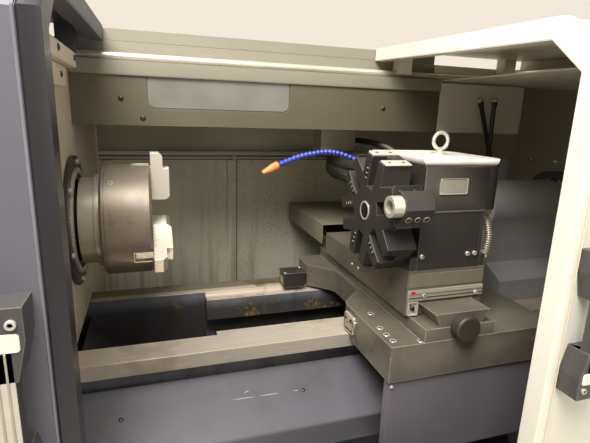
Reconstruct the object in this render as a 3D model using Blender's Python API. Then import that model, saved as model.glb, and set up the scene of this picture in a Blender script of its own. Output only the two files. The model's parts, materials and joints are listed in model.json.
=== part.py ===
"""CNC turning lathe: a flat-bed machine in a sheet-metal enclosure, with its sliding doors open.

Metres, +Z up, +X from the chuck to the tailstock, -Y is the operator's side.
The origin is on the floor, below the middle of the machine.
"""

import math

import bmesh
import bpy
from mathutils import Matrix, Vector

# Overall sizes
MACHINE_LENGTH = 2.55
SPINDLE_HEIGHT = 1.13
SPINDLE_SETBACK = 0.10
SHEET = 0.003
SEAT = 0.0003
RUN = 0.002
OVERRUN = 0.010
ROUND_STEPS = 32

# Bed
CENTRE_HEIGHT = 0.254
BED_WIDTH = 0.400
BED_HEIGHT = 0.270
BED_RIGHT_MARGIN = 0.215
BED_GAP_LENGTH = 0.300
WAY_WIDTH = 0.070
WAY_DEPTH = 0.033
WAY_UNDERCUT = 0.034
INNER_WAY_WIDTH = 0.037
INNER_WAY_DROP = 0.010

# Enclosure
HEAD_LENGTH = 0.785
OPENING_LENGTH = 0.970
ENCLOSURE_FRONT = 0.640
ENCLOSURE_RISE = 0.400
ENCLOSURE_STEP = 0.045
ENCLOSURE_BACK = 0.470
CORNER_SLOPE = 0.105
COVER_BOTTOM = 0.080
REAR_WALL_SETBACK = 0.420
REAR_WALL_RISE = 0.110
BEAM_FRONT = 0.030
RAIL_STEP = 0.020
RAIL_DIAMETER = 0.018
BEAM_HEIGHT = 0.146
TRAY_DROP = 0.096
TRAY_FLOOR_DROP = 0.006

# Doors
DOOR_ROOF_RISE = 0.030
DOOR_FOOT_RISE = 0.010
DOOR_OVERLAP = 0.020
DOOR_EDGE = 0.032
DOOR_POST = 0.030
DOOR_CLEARANCE = 0.009
LEFT_DOOR_OPEN = 0.075
RIGHT_DOOR_OPEN = 0.195

# Spindle, chuck and headstock
SPINDLE_DIAMETER = 0.120
SPINDLE_BORE = 0.062
NOSE_DIAMETER = 0.165
NOSE_LENGTH = 0.025
NOSE_GAP = 0.007
RING_DIAMETER = 0.195
RING_LENGTH = 0.031
PLATE_DIAMETER = 0.207
PLATE_LENGTH = 0.012
CHUCK_DIAMETER = 0.250
CHUCK_LENGTH = 0.104
FLANGE_DIAMETER = 0.290
FLANGE_THICKNESS = 0.009
HEADSTOCK_INSET = 0.214
HEADSTOCK_RISE = 0.190
SPINDLE_PULLEY_DIAMETER = 0.230
MOTOR_PULLEY_DIAMETER = 0.150
PULLEY_WIDTH = 0.056
MOTOR_DIAMETER = 0.250
MOTOR_LENGTH = 0.400
MOTOR_SETBACK = 0.260

# Carriage, cross-slide and turret
SADDLE_PARK = 0.600
SADDLE_LENGTH = 0.420
SADDLE_DEPTH = 0.587
SADDLE_HEIGHT = 0.064
SADDLE_OVERHANG = 0.014
SLIDE_INSET = 0.065
SLIDE_WIDTH = 0.190
SLIDE_LENGTH = 0.458
SLIDE_FRONT = 0.323
SLIDE_THICKNESS = 0.0335
TURRET_AXIS_RISE = 0.053
TURRET_AXIS_FORWARD = 0.237
DISC_REACH = 0.067
DISC_THICKNESS = 0.065
DISC_ACROSS = 0.235
STATIONS = 6
TURRET_TURN = math.radians(15)

# Tailstock
TAILSTOCK_PARK = 0.460
TAILSTOCK_LENGTH = 0.260
QUILL_DIAMETER = 0.075

# Places that follow from the sizes above
LEFT_END = -MACHINE_LENGTH / 2
RIGHT_END = MACHINE_LENGTH / 2
WALL_FACE = LEFT_END + HEAD_LENGTH
OPENING_RIGHT = WALL_FACE + OPENING_LENGTH
SPINDLE_Y = -SPINDLE_SETBACK
BED_TOP = SPINDLE_HEIGHT - CENTRE_HEIGHT
BED_BOTTOM = BED_TOP - BED_HEIGHT
BED_FRONT = SPINDLE_Y - BED_WIDTH / 2
BED_BACK = SPINDLE_Y + BED_WIDTH / 2
BED_RIGHT = RIGHT_END - BED_RIGHT_MARGIN
PEDESTAL_TOP = BED_BOTTOM - SEAT
WALL_BOTTOM = BED_BOTTOM
FRONT = -ENCLOSURE_FRONT
NOSE_START = WALL_FACE - NOSE_GAP
RING_START = NOSE_START + NOSE_LENGTH + SEAT
PLATE_START = RING_START + RING_LENGTH
CHUCK_START = PLATE_START + PLATE_LENGTH + SEAT
CHUCK_FACE = CHUCK_START + CHUCK_LENGTH
HEADSTOCK_RIGHT = NOSE_START - 2 * RUN
HEADSTOCK_LEFT = LEFT_END + HEADSTOCK_INSET
SADDLE_LEFT = WALL_FACE + SADDLE_PARK
SADDLE_RIGHT = SADDLE_LEFT + SADDLE_LENGTH
SADDLE_TOP = BED_TOP + SADDLE_HEIGHT
SADDLE_BACK = SPINDLE_Y + BED_WIDTH / 2
SADDLE_FRONT = SADDLE_BACK - SADDLE_DEPTH
SLIDE_LEFT = SADDLE_LEFT + SLIDE_INSET
SLIDE_RIGHT = SLIDE_LEFT + SLIDE_WIDTH
SLIDE_MIDDLE = SLIDE_LEFT + SLIDE_WIDTH / 2
SLIDE_NOSE = SPINDLE_Y - SLIDE_FRONT
SLIDE_TAIL = SLIDE_NOSE + SLIDE_LENGTH
DISC_FACE = SLIDE_LEFT - DISC_REACH
DISC_Y = SPINDLE_Y - TURRET_AXIS_FORWARD
DISC_Z = SPINDLE_HEIGHT + TURRET_AXIS_RISE
TAILSTOCK_LEFT = BED_RIGHT - TAILSTOCK_PARK
TRAY_TOP = BED_TOP - TRAY_DROP
TRAY_BOTTOM = BED_BOTTOM - TRAY_FLOOR_DROP
ENCLOSURE_TOP = SPINDLE_HEIGHT + ENCLOSURE_RISE
ENCLOSURE_LIP = ENCLOSURE_TOP - ENCLOSURE_STEP
REAR_WALL_TOP = SPINDLE_HEIGHT + REAR_WALL_RISE
BEAM_BOTTOM = ENCLOSURE_LIP - BEAM_HEIGHT
DOOR_TOP = ENCLOSURE_TOP + DOOR_ROOF_RISE
DOOR_BOTTOM = TRAY_TOP + DOOR_FOOT_RISE
RAIL_Y = -BEAM_FRONT + RAIL_STEP
RAIL_Z = ENCLOSURE_LIP + SEAT + RAIL_DIAMETER / 2
DOOR_WIDTH = OPENING_LENGTH / 2 + DOOR_OVERLAP
LEFT_DOOR_EDGE = WALL_FACE + LEFT_DOOR_OPEN
RIGHT_DOOR_EDGE = OPENING_RIGHT - RIGHT_DOOR_OPEN


def material(name, colour, roughness, metallic=0.0):
    """A Principled material; one of these goes on each piece."""
    made = bpy.data.materials.new(name)
    made.use_nodes = True
    shader = made.node_tree.nodes["Principled BSDF"]
    shader.inputs["Base Color"].default_value = (*colour, 1.0)
    shader.inputs["Roughness"].default_value = roughness
    shader.inputs["Metallic"].default_value = metallic
    made.diffuse_color = (*colour, 1.0)
    return made


def corner_points(outline, corner_radius, steps=4):
    """The outline with each corner made an arc. corner_radius is one radius or one for each corner."""
    count = len(outline)
    radii = corner_radius if isinstance(corner_radius, (list, tuple)) else [corner_radius] * count
    points = []
    for index, radius in enumerate(radii):
        corner = Vector(outline[index])
        before = Vector(outline[index - 1]) - corner
        after = Vector(outline[(index + 1) % count]) - corner
        if radius <= 0:
            points.append(corner)
            continue
        half = before.angle(after) / 2
        reach = min(radius / math.tan(half), before.length / 2, after.length / 2)
        radius = reach * math.tan(half)
        centre = corner + (before.normalized() + after.normalized()).normalized() * radius / math.sin(half)
        start = corner + before.normalized() * reach - centre
        end = corner + after.normalized() * reach - centre
        turn = start.angle_signed(end)
        points += [centre + Matrix.Rotation(-turn * k / steps, 2) @ start for k in range(steps + 1)]
    return [tuple(point) for point in points]


def oriented(axis, along, u, v):
    """A point from its place along an axis and its two other coordinates, which keep X, Y, Z order."""
    return {"X": (along, u, v), "Y": (u, along, v), "Z": (u, v, along)}[axis]


def prism(axis, start, end, outline):
    """An outline carried straight along an axis: Y and Z for axis X, X and Z for axis Y, X and Y for axis Z."""
    mesh = bmesh.new()
    rings = [[mesh.verts.new(oriented(axis, along, u, v)) for u, v in outline] for along in (start, end)]
    count = len(outline)
    for k in range(count):
        mesh.faces.new((rings[0][k], rings[0][(k + 1) % count], rings[1][(k + 1) % count], rings[1][k]))
    mesh.faces.new(rings[0])
    mesh.faces.new(rings[1][::-1])
    bmesh.ops.recalc_face_normals(mesh, faces=mesh.faces)
    return mesh


def box(low, high):
    """A rectangular block between two corners."""
    return prism("X", low[0], high[0], [(low[1], low[2]), (high[1], low[2]), (high[1], high[2]), (low[1], high[2])])


def rectangle(low, high):
    """The outline of a rectangle between two corners."""
    return [(low[0], low[1]), (high[0], low[1]), (high[0], high[1]), (low[0], high[1])]


def turned(axis, centre, profile, steps=ROUND_STEPS, closed=False):
    """A profile of (place along the axis, radius) turned round an axis through centre (its other two coordinates).

    An open profile starts and ends on the axis. A closed one makes a ring.
    """
    mesh = bmesh.new()
    rings = []
    for along, radius in profile:
        if radius == 0:
            rings.append([mesh.verts.new(oriented(axis, along, *centre))])
            continue
        ring = []
        for k in range(steps):
            angle = 2 * math.pi * k / steps
            u = centre[0] + radius * math.cos(angle)
            v = centre[1] + radius * math.sin(angle)
            ring.append(mesh.verts.new(oriented(axis, along, u, v)))
        rings.append(ring)
    pairs = list(zip(rings, rings[1:] + rings[:1]))
    for first, second in pairs if closed else pairs[:-1]:
        for k in range(steps):
            after = (k + 1) % steps
            corners = [first[k % len(first)], first[after % len(first)]]
            corners += [second[after % len(second)], second[k % len(second)]]
            corners = [corner for n, corner in enumerate(corners) if corner not in corners[:n]]
            mesh.faces.new(corners)
    bmesh.ops.recalc_face_normals(mesh, faces=mesh.faces)
    return mesh


def cylinder(axis, start, end, centre, diameter, steps=ROUND_STEPS):
    """A plain round bar."""
    radius = diameter / 2
    return turned(axis, centre, [(start, 0), (start, radius), (end, radius), (end, 0)], steps)


def ring(axis, start, end, centre, outer, inner, steps=ROUND_STEPS):
    """A plain round tube, by its two diameters."""
    profile = [(start, inner / 2), (start, outer / 2), (end, outer / 2), (end, inner / 2)]
    return turned(axis, centre, profile, steps, closed=True)


def moved(mesh, matrix):
    """The same shape, carried by a matrix."""
    bmesh.ops.transform(mesh, matrix=matrix, verts=mesh.verts)
    return mesh


def turn_about(point, axis, angle):
    """The matrix that turns space round an axis through a point."""
    there = Matrix.Translation(point)
    return there @ Matrix.Rotation(angle, 4, axis) @ there.inverted()


def shape_object(name, mesh, origin):
    """An object that holds a bmesh, with its origin at the given point."""
    data = bpy.data.meshes.new(name)
    mesh.to_mesh(data)
    mesh.free()
    data.transform(Matrix.Translation(-Vector(origin)))
    made = bpy.data.objects.new(name, data)
    made.location = origin
    bpy.context.scene.collection.objects.link(made)
    return made


def boolean(target, mesh, operation):
    """Adds a shape to an object or cuts it away, through a hidden helper."""
    helper = shape_object(f"{target.name}_{operation.lower()}", mesh, target.location)
    helper.hide_render = True
    helper.display_type = "WIRE"
    step = target.modifiers.new(operation.title(), "BOOLEAN")
    step.operation = operation
    step.solver = "EXACT"
    step.object = helper


def part(name, finish, mesh, joined=(), cut=(), added=(), origin=(0, 0, 0)):
    """One named piece: a first shape, the shapes united with it, those cut out of it, and those added after."""
    made = shape_object(name, mesh, origin)
    made.data.materials.append(finish)
    for extra in joined:
        boolean(made, extra, "UNION")
    for cutter in cut:
        boolean(made, cutter, "DIFFERENCE")
    for extra in added:
        boolean(made, extra, "UNION")
    made.data.shade_smooth()
    made.data.set_sharp_from_angle(angle=math.radians(30))
    return made


def clear_scene():
    """Removes whatever the file holds."""
    for held in list(bpy.data.objects):
        bpy.data.objects.remove(held)


FOOT_DIAMETER = 0.090
FOOT_THICKNESS = 0.014
FOOT_STEM = 0.036
FOOT_HEIGHT = 0.060
FOOT_INSET = 0.070
PEDESTAL_FRONT = 0.420
PEDESTAL_BACK = 0.400
PEDESTAL_CORNER = 0.020
POCKET_DEPTH = 0.030
POCKET_MARGIN = 0.080
LEFT_PEDESTAL_MARGIN = 0.050
RIGHT_PEDESTAL_LENGTH = 0.420


def pedestal(name, left, right):
    """A leg under one end of the bed: a block with a pocket in its front, on four levelling feet."""
    outline = corner_points(rectangle((left, -PEDESTAL_FRONT), (right, PEDESTAL_BACK)), PEDESTAL_CORNER)
    feet = []
    for x in (left + FOOT_INSET, right - FOOT_INSET):
        for y in (-PEDESTAL_FRONT + FOOT_INSET, PEDESTAL_BACK - FOOT_INSET):
            profile = [
                (0, 0),
                (0, FOOT_DIAMETER / 2),
                (FOOT_THICKNESS, FOOT_DIAMETER / 2),
                (FOOT_THICKNESS * 2, FOOT_STEM / 2),
                (FOOT_HEIGHT + OVERRUN, FOOT_STEM / 2),
                (FOOT_HEIGHT + OVERRUN, 0),
            ]
            feet.append(turned("Z", (x, y), profile, 16))
    pocket = corner_points(
        rectangle(
            (left + POCKET_MARGIN, FOOT_HEIGHT + POCKET_MARGIN),
            (right - POCKET_MARGIN, PEDESTAL_TOP - POCKET_MARGIN),
        ),
        PEDESTAL_CORNER,
    )
    front_pocket = prism("Y", -PEDESTAL_FRONT - OVERRUN, -PEDESTAL_FRONT + POCKET_DEPTH, pocket)
    part(name, SLATE, prism("Z", FOOT_HEIGHT, PEDESTAL_TOP, outline), joined=feet, cut=[front_pocket])


RIB_HEIGHT = 0.120
RIB_THICKNESS = 0.024
RIB_COUNT = 5
BED_FLOOR = 0.030
CHUTE_LENGTH = 0.170
CHUTE_RISE = 0.200
INNER_WAY_DEPTH = 0.060
WAY_LAP = 0.004
UNDERCUT_FALL = 0.012
SCREW_DIAMETER = 0.032
SCREW_DROP = 0.131
BRACKET_WIDTH = 0.040
BRACKET_SIZE = 0.072
BORE_FIT = 0.0006

SCREW_Y = BED_FRONT
SCREW_Z = BED_TOP - SCREW_DROP
LEFT_BRACKET = WALL_FACE - 3 * BRACKET_WIDTH
RIGHT_BRACKET = BED_RIGHT - BRACKET_WIDTH


def bed():
    """The bed: two webs under the wide outer ways, a floor, ribs, and two lower inner ways past the gap."""
    web_front = BED_FRONT + WAY_UNDERCUT
    web_back = BED_BACK - WAY_UNDERCUT
    trough_front = BED_FRONT + WAY_WIDTH
    trough_back = BED_BACK - WAY_WIDTH
    floor = BED_BOTTOM + BED_FLOOR
    face = BED_TOP - WAY_DEPTH
    section = [
        (BED_FRONT, BED_TOP),
        (BED_FRONT, face),
        (web_front, face - UNDERCUT_FALL),
        (web_front, BED_BOTTOM),
        (web_back, BED_BOTTOM),
        (web_back, face - UNDERCUT_FALL),
        (BED_BACK, face),
        (BED_BACK, BED_TOP),
        (trough_back, BED_TOP),
        (trough_back, floor),
        (trough_front, floor),
        (trough_front, BED_TOP),
    ]
    start = HEADSTOCK_LEFT
    gap_end = WALL_FACE + BED_GAP_LENGTH
    top = BED_TOP - INNER_WAY_DROP
    extras = []
    for edge, way in ((trough_front - WAY_LAP, 1), (trough_back + WAY_LAP, -1)):
        inner = edge + way * (INNER_WAY_WIDTH + WAY_LAP)
        low, high = sorted((edge, inner))
        extras.append(box((gap_end, low, top - INNER_WAY_DEPTH), (BED_RIGHT + OVERRUN, high, top)))
    pitch = (BED_RIGHT - gap_end) / RIB_COUNT
    inside = (trough_front - WAY_LAP, trough_back + WAY_LAP)
    for k in range(RIB_COUNT):
        x = gap_end + pitch * k
        low = (x, inside[0], floor - WAY_LAP)
        extras.append(box(low, (x + RIB_THICKNESS, inside[1], floor + RIB_HEIGHT)))
    chute = [
        (WALL_FACE, floor - WAY_LAP),
        (WALL_FACE + CHUTE_LENGTH, floor - WAY_LAP),
        (WALL_FACE, floor + CHUTE_RISE),
    ]
    extras.append(prism("Y", inside[0], inside[1], chute))
    for x in (LEFT_BRACKET, RIGHT_BRACKET):
        half = BRACKET_SIZE / 2
        low = (x, SCREW_Y - half, SCREW_Z - half)
        extras.append(box(low, (x + BRACKET_WIDTH, web_front + WAY_LAP, SCREW_Z + half)))
    bore = SCREW_DIAMETER + 2 * BORE_FIT
    cuts = [
        cylinder("X", LEFT_BRACKET - OVERRUN, BED_RIGHT + OVERRUN, (SCREW_Y, SCREW_Z), bore),
        box((BED_RIGHT, BED_FRONT - OVERRUN, BED_BOTTOM), (BED_RIGHT + 2 * OVERRUN, BED_BACK, BED_TOP + OVERRUN)),
    ]
    part("bed", CASTING_SLATE, prism("X", start, BED_RIGHT, section), joined=extras, cut=cuts)


def beside(points, distance):
    """The line of points moved sideways to its left, with its corners kept sharp."""
    line = [Vector(point) for point in points]
    runs = [(second - first).normalized() for first, second in zip(line, line[1:])]
    normals = [Vector((-run.y, run.x)) for run in runs]
    shifted = []
    for point, before, after in zip(line, normals[:1] + normals, normals + normals[-1:]):
        middle = (before + after).normalized()
        shifted.append(tuple(point + middle * distance / middle.dot(before)))
    return shifted


def folded(points, thickness, skipped=0.0):
    """The outline of a sheet folded along a line of points, on the line's left, after a skipped distance."""
    return beside(points, skipped) + beside(points, thickness)[::-1]


GUARD_SHEET = 0.004
GUARD_SLOPE = 0.128
GUARD_FALL = 0.066
GUARD_FOLD = 0.030
GUARD_DROP = 0.080
TROUGH_RISE = 0.026
LEDGE_WIDTH = 0.036
LEDGE_THICKNESS = 0.020
TRAY_GAP = 0.004
GUARD_SLOT = 0.018
REAR_TRAY_DROP = 0.060
REAR_TRAY_RUN = 0.060


def front_tray():
    """The tray in front of the bed: a sloped guard below the way, a fold, the trough and the front wall."""
    web = BED_FRONT + WAY_UNDERCUT - GUARD_SLOT
    top = BED_TOP - WAY_DEPTH - WAY_UNDERCUT - TRAY_GAP
    slope_end = web - GUARD_SLOPE
    guard = [
        (FRONT + TRAY_GAP, TRAY_TOP),
        (FRONT + TRAY_GAP, TRAY_BOTTOM),
        (slope_end - GUARD_DROP, TRAY_BOTTOM),
        (slope_end - GUARD_FOLD - TRAY_GAP, TRAY_BOTTOM + TROUGH_RISE),
        (slope_end - GUARD_FOLD, top - GUARD_FALL - GUARD_FOLD),
        (slope_end, top - GUARD_FALL),
        (web, top),
    ]
    start = WALL_FACE + SEAT
    ledge_low = (start, FRONT - LEDGE_WIDTH, DOOR_BOTTOM - SEAT - LEDGE_THICKNESS)
    ledge_high = (OPENING_RIGHT, FRONT + TRAY_GAP + GUARD_SHEET / 2, DOOR_BOTTOM - SEAT)
    sheet = prism("X", start, OPENING_RIGHT, folded(guard, GUARD_SHEET))
    part("front_chip_tray", SLATE, sheet, joined=[box(ledge_low, ledge_high)])


def rear_tray():
    """The tray behind the bed, from the bed's back web to the rear wall."""
    web = BED_BACK - WAY_UNDERCUT + TRAY_GAP
    wall = REAR_WALL_SETBACK - TRAY_GAP
    top = TRAY_TOP - REAR_TRAY_DROP
    line = [
        (web, top),
        (web + REAR_TRAY_RUN, TRAY_BOTTOM + 2 * TROUGH_RISE),
        (wall - REAR_TRAY_RUN, TRAY_BOTTOM + TROUGH_RISE),
        (wall, top),
    ]
    part("rear_chip_tray", SLATE, prism("X", WALL_FACE + SEAT, OPENING_RIGHT, folded(line, GUARD_SHEET)))


COVER_HOLE = 0.090
VENT_COUNT = 6
VENT_LENGTH = 0.170
VENT_HEIGHT = 0.012
VENT_PITCH = 0.030
VENT_BOTTOM = 0.300
WALL_SHEET = 0.008
WALL_HOLE = 0.230
SLOPE_SHARE = math.tan(math.pi / 8)


def enclosure_outline(inset, bottom):
    """The outline of the covers from the side: a sloped front corner, and a step at the back for the door rail."""
    slope = inset * SLOPE_SHARE
    step = -BEAM_FRONT + 2 * RAIL_STEP + inset
    return [
        (FRONT + inset, bottom),
        (FRONT + inset, ENCLOSURE_LIP - CORNER_SLOPE - slope),
        (FRONT + CORNER_SLOPE + slope, ENCLOSURE_LIP - inset),
        (step, ENCLOSURE_LIP - inset),
        (step, ENCLOSURE_TOP - inset),
        (ENCLOSURE_BACK - inset, ENCLOSURE_TOP - inset),
        (ENCLOSURE_BACK - inset, bottom),
    ]


def guide_ledge(left, right):
    """The ledge that the doors' lower edges run on."""
    low = (left, FRONT - LEDGE_WIDTH, DOOR_BOTTOM - SEAT - LEDGE_THICKNESS)
    return box(low, (right, FRONT + SHEET / 2, DOOR_BOTTOM - SEAT))


def end_covers():
    """The sheet-metal covers of both ends, open below and towards the work space."""
    hollow = enclosure_outline(SHEET, COVER_BOTTOM - OVERRUN)
    shell = enclosure_outline(0, COVER_BOTTOM)
    right = WALL_FACE - WALL_SHEET - SEAT
    cuts = [prism("X", LEFT_END + SHEET, right + OVERRUN, hollow)]
    cuts.append(cylinder("X", LEFT_END - OVERRUN, LEFT_END + OVERRUN, (SPINDLE_Y, SPINDLE_HEIGHT), COVER_HOLE))
    for k in range(VENT_COUNT):
        z = VENT_BOTTOM + k * VENT_PITCH
        low = (LEFT_END - OVERRUN, -VENT_LENGTH / 2, z)
        cuts.append(box(low, (LEFT_END + OVERRUN, VENT_LENGTH / 2, z + VENT_HEIGHT)))
    ledge = guide_ledge(LEFT_END, right)
    part("headstock_cover", DOOR_SLATE, prism("X", LEFT_END, right, shell), joined=[ledge], cut=cuts)
    left = OPENING_RIGHT + SEAT
    cuts = [prism("X", left - OVERRUN, RIGHT_END - SHEET, hollow)]
    ledge = guide_ledge(left, RIGHT_END)
    part("tailstock_cover", CREAM, prism("X", left, RIGHT_END, shell), joined=[ledge], cut=cuts)


def chuck_side_wall():
    """The cream wall beside the chuck, cut away round the bed and the spindle nose."""
    inner = enclosure_outline(SHEET + SEAT, WALL_BOTTOM)
    inner = [(min(y, REAR_WALL_SETBACK - SEAT), z) for y, z in inner]
    notch = box(
        (WALL_FACE - WALL_SHEET - OVERRUN, BED_FRONT - TRAY_GAP, WALL_BOTTOM - OVERRUN),
        (WALL_FACE + OVERRUN, BED_BACK + TRAY_GAP, BED_TOP + TRAY_GAP),
    )
    low, high = WALL_FACE - WALL_SHEET - OVERRUN, WALL_FACE + OVERRUN
    hole = cylinder("X", low, high, (SPINDLE_Y, SPINDLE_HEIGHT), WALL_HOLE)
    screw_hole = cylinder("X", low, high, (SCREW_Y, SCREW_Z), SCREW_DIAMETER + OVERRUN)
    plate = prism("X", WALL_FACE - WALL_SHEET, WALL_FACE, inner)
    part("chuck_side_wall", CREAM_OLIVE, plate, cut=[notch, hole, screw_hole])
    flange = ring(
        "X",
        WALL_FACE + SEAT,
        WALL_FACE + SEAT + FLANGE_THICKNESS,
        (SPINDLE_Y, SPINDLE_HEIGHT),
        FLANGE_DIAMETER,
        NOSE_DIAMETER + 2 * FLANGE_THICKNESS,
    )
    part("wall_flange", DARK_STEEL, flange)


WALL_RIB_WIDTH = 0.030
WALL_RIB_DEPTH = 0.010
WALL_RIB_SHARES = (0.02, 0.455, 0.97)
BEAM_RETURN = 0.130
LAMP_INSET = 0.166
LAMP_LENGTH = 0.352
LAMP_HEIGHT = 0.083
LAMP_DROP = 0.064
LAMP_CORNER = 0.016
LAMP_DEPTH = 0.030

LAMP_LEFT = WALL_FACE + LAMP_INSET
LAMP_CENTRE = ENCLOSURE_LIP - LAMP_DROP


def rear_wall():
    """The rear wall: a sheet with vertical ribs, a ledge on top of it, and the recessed strip above the ledge."""
    back = ENCLOSURE_BACK - SHEET
    line = [
        (REAR_WALL_SETBACK + SHEET, WALL_BOTTOM),
        (REAR_WALL_SETBACK + SHEET, REAR_WALL_TOP - SHEET),
        (back + SHEET, REAR_WALL_TOP - SHEET),
        (back + SHEET, ENCLOSURE_TOP - SHEET - SEAT),
    ]
    start = WALL_FACE + SEAT
    ribs = []
    for share in WALL_RIB_SHARES:
        x = start + share * (OPENING_LENGTH - WALL_RIB_WIDTH)
        low = (x, REAR_WALL_SETBACK - WALL_RIB_DEPTH, TRAY_TOP - REAR_TRAY_DROP + OVERRUN)
        ribs.append(box(low, (x + WALL_RIB_WIDTH, REAR_WALL_SETBACK + SHEET / 2, REAR_WALL_TOP - WALL_RIB_WIDTH)))
    sheet = prism("X", start, OPENING_RIGHT, folded(line, SHEET))
    part("rear_wall", CREAM_OLIVE, sheet, joined=ribs)


def upper_beam():
    """The folded beam over the rear of the opening, its recessed lamp, and the round rail that the doors hang on."""
    front = -BEAM_FRONT
    step = -BEAM_FRONT + 2 * RAIL_STEP
    back = ENCLOSURE_BACK - 2 * SEAT
    line = [
        (front + BEAM_RETURN, BEAM_BOTTOM),
        (front, BEAM_BOTTOM),
        (front, ENCLOSURE_LIP),
        (step, ENCLOSURE_LIP),
        (step, ENCLOSURE_TOP),
        (back, ENCLOSURE_TOP),
    ]
    outline = folded(line[::-1], SHEET)
    window = rectangle(
        (LAMP_LEFT, LAMP_CENTRE - LAMP_HEIGHT / 2),
        (LAMP_LEFT + LAMP_LENGTH, LAMP_CENTRE + LAMP_HEIGHT / 2),
    )
    hole = prism("Y", front - OVERRUN, front + OVERRUN, corner_points(window, LAMP_CORNER))
    part("upper_beam", CREAM_OLIVE, prism("X", WALL_FACE + SEAT, OPENING_RIGHT, outline), cut=[hole])
    inset = SEAT + SHEET / 2
    lens = rectangle(
        (LAMP_LEFT + inset, LAMP_CENTRE - LAMP_HEIGHT / 2 + inset),
        (LAMP_LEFT + LAMP_LENGTH - inset, LAMP_CENTRE + LAMP_HEIGHT / 2 - inset),
    )
    frame = rectangle(
        (LAMP_LEFT - LAMP_CORNER, LAMP_CENTRE - LAMP_HEIGHT / 2 - LAMP_CORNER),
        (LAMP_LEFT + LAMP_LENGTH + LAMP_CORNER, LAMP_CENTRE + LAMP_HEIGHT / 2 + LAMP_CORNER / 2),
    )
    body = prism("Y", front + SHEET + SEAT, front + LAMP_DEPTH, frame)
    glass = prism("Y", front + SHEET / 2, front + LAMP_DEPTH - SHEET, corner_points(lens, LAMP_CORNER))
    part("work_light", LAMP_GLASS, body, joined=[glass])
    rail_end = LEFT_END + RAIL_STEP
    part("door_rail", BRIGHT_STEEL, cylinder("X", rail_end, -rail_end, (RAIL_Y, RAIL_Z), RAIL_DIAMETER, 16))


def headstock():
    """The headstock casting on the left end of the bed, bored for the spindle."""
    half = BED_WIDTH / 2 - RAIL_STEP
    top = SPINDLE_HEIGHT + HEADSTOCK_RISE
    outline = rectangle((SPINDLE_Y - half, BED_TOP + SEAT), (SPINDLE_Y + half, top))
    arch = corner_points(outline, [0, 0, half / 3, half / 3])
    bore_size = SPINDLE_DIAMETER + 2 * BORE_FIT
    axis = (SPINDLE_Y, SPINDLE_HEIGHT)
    bore = cylinder("X", HEADSTOCK_LEFT - OVERRUN, HEADSTOCK_RIGHT + OVERRUN, axis, bore_size)
    part("headstock", CASTING_SLATE, prism("X", HEADSTOCK_LEFT, HEADSTOCK_RIGHT, arch), cut=[bore])


GROOVE_COUNT = 5
GROOVE_DEPTH = 0.006
PULLEY_GAP = 0.060
BELT_THICKNESS = 0.009
MOTOR_FOOT = 0.018
MOTOR_SHAFT = 0.042
FIN_COUNT = 24
FIN_DEPTH = 0.012
FIN_SHARE = 0.45
END_BELL = 0.050
JOURNAL_SHARE = 0.8

PULLEY_LEFT = HEADSTOCK_LEFT - PULLEY_GAP - PULLEY_WIDTH
MOTOR_AXIS = (MOTOR_SETBACK, PEDESTAL_TOP + SEAT + MOTOR_FOOT + MOTOR_DIAMETER / 2)
SPINDLE_AXIS = (SPINDLE_Y, SPINDLE_HEIGHT)
JOURNAL_DIAMETER = SPINDLE_DIAMETER * JOURNAL_SHARE


def grooved_profile(start, width, diameter):
    """The rim of a pulley with V grooves, from one face to the other."""
    points = [(start, diameter / 2)]
    pitch = width / (GROOVE_COUNT + 1)
    for k in range(GROOVE_COUNT):
        middle = start + pitch * (k + 1)
        points += [(middle - pitch / 3, diameter / 2), (middle, diameter / 2 - GROOVE_DEPTH)]
        points += [(middle + pitch / 3, diameter / 2)]
    return points + [(start + width, diameter / 2)]


def spindle_parts():
    """The spindle with its nose, the two adapter rings, the pulley, and the hollow bore through all of them."""
    bore = SPINDLE_BORE / 2
    outer = SPINDLE_DIAMETER / 2
    journal = JOURNAL_DIAMETER / 2
    profile = [
        (PULLEY_LEFT - RAIL_STEP, bore),
        (PULLEY_LEFT - RAIL_STEP, journal),
        (PULLEY_LEFT + PULLEY_WIDTH + OVERRUN, journal),
        (PULLEY_LEFT + PULLEY_WIDTH + OVERRUN, outer),
        (NOSE_START, outer),
        (NOSE_START, NOSE_DIAMETER / 2),
        (NOSE_START + NOSE_LENGTH, NOSE_DIAMETER / 2),
        (NOSE_START + NOSE_LENGTH, bore),
    ]
    origin = (NOSE_START, *SPINDLE_AXIS)
    part("spindle", BLACK_STEEL, turned("X", SPINDLE_AXIS, profile, closed=True), origin=origin)
    rings = [
        (RING_START, bore),
        (RING_START, RING_DIAMETER / 2),
        (RING_START + RING_LENGTH, RING_DIAMETER / 2),
        (RING_START + RING_LENGTH, PLATE_DIAMETER / 2),
        (PLATE_START + PLATE_LENGTH, PLATE_DIAMETER / 2),
        (PLATE_START + PLATE_LENGTH, bore),
    ]
    part("chuck_adapter", PALE_STEEL, turned("X", SPINDLE_AXIS, rings, closed=True), origin=origin)
    rim = grooved_profile(PULLEY_LEFT, PULLEY_WIDTH, SPINDLE_PULLEY_DIAMETER)
    seat = journal + SEAT
    profile = [(PULLEY_LEFT, seat)] + rim + [(PULLEY_LEFT + PULLEY_WIDTH, seat)]
    part("spindle_pulley", CAST_GREY, turned("X", SPINDLE_AXIS, profile, closed=True), origin=origin)


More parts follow.
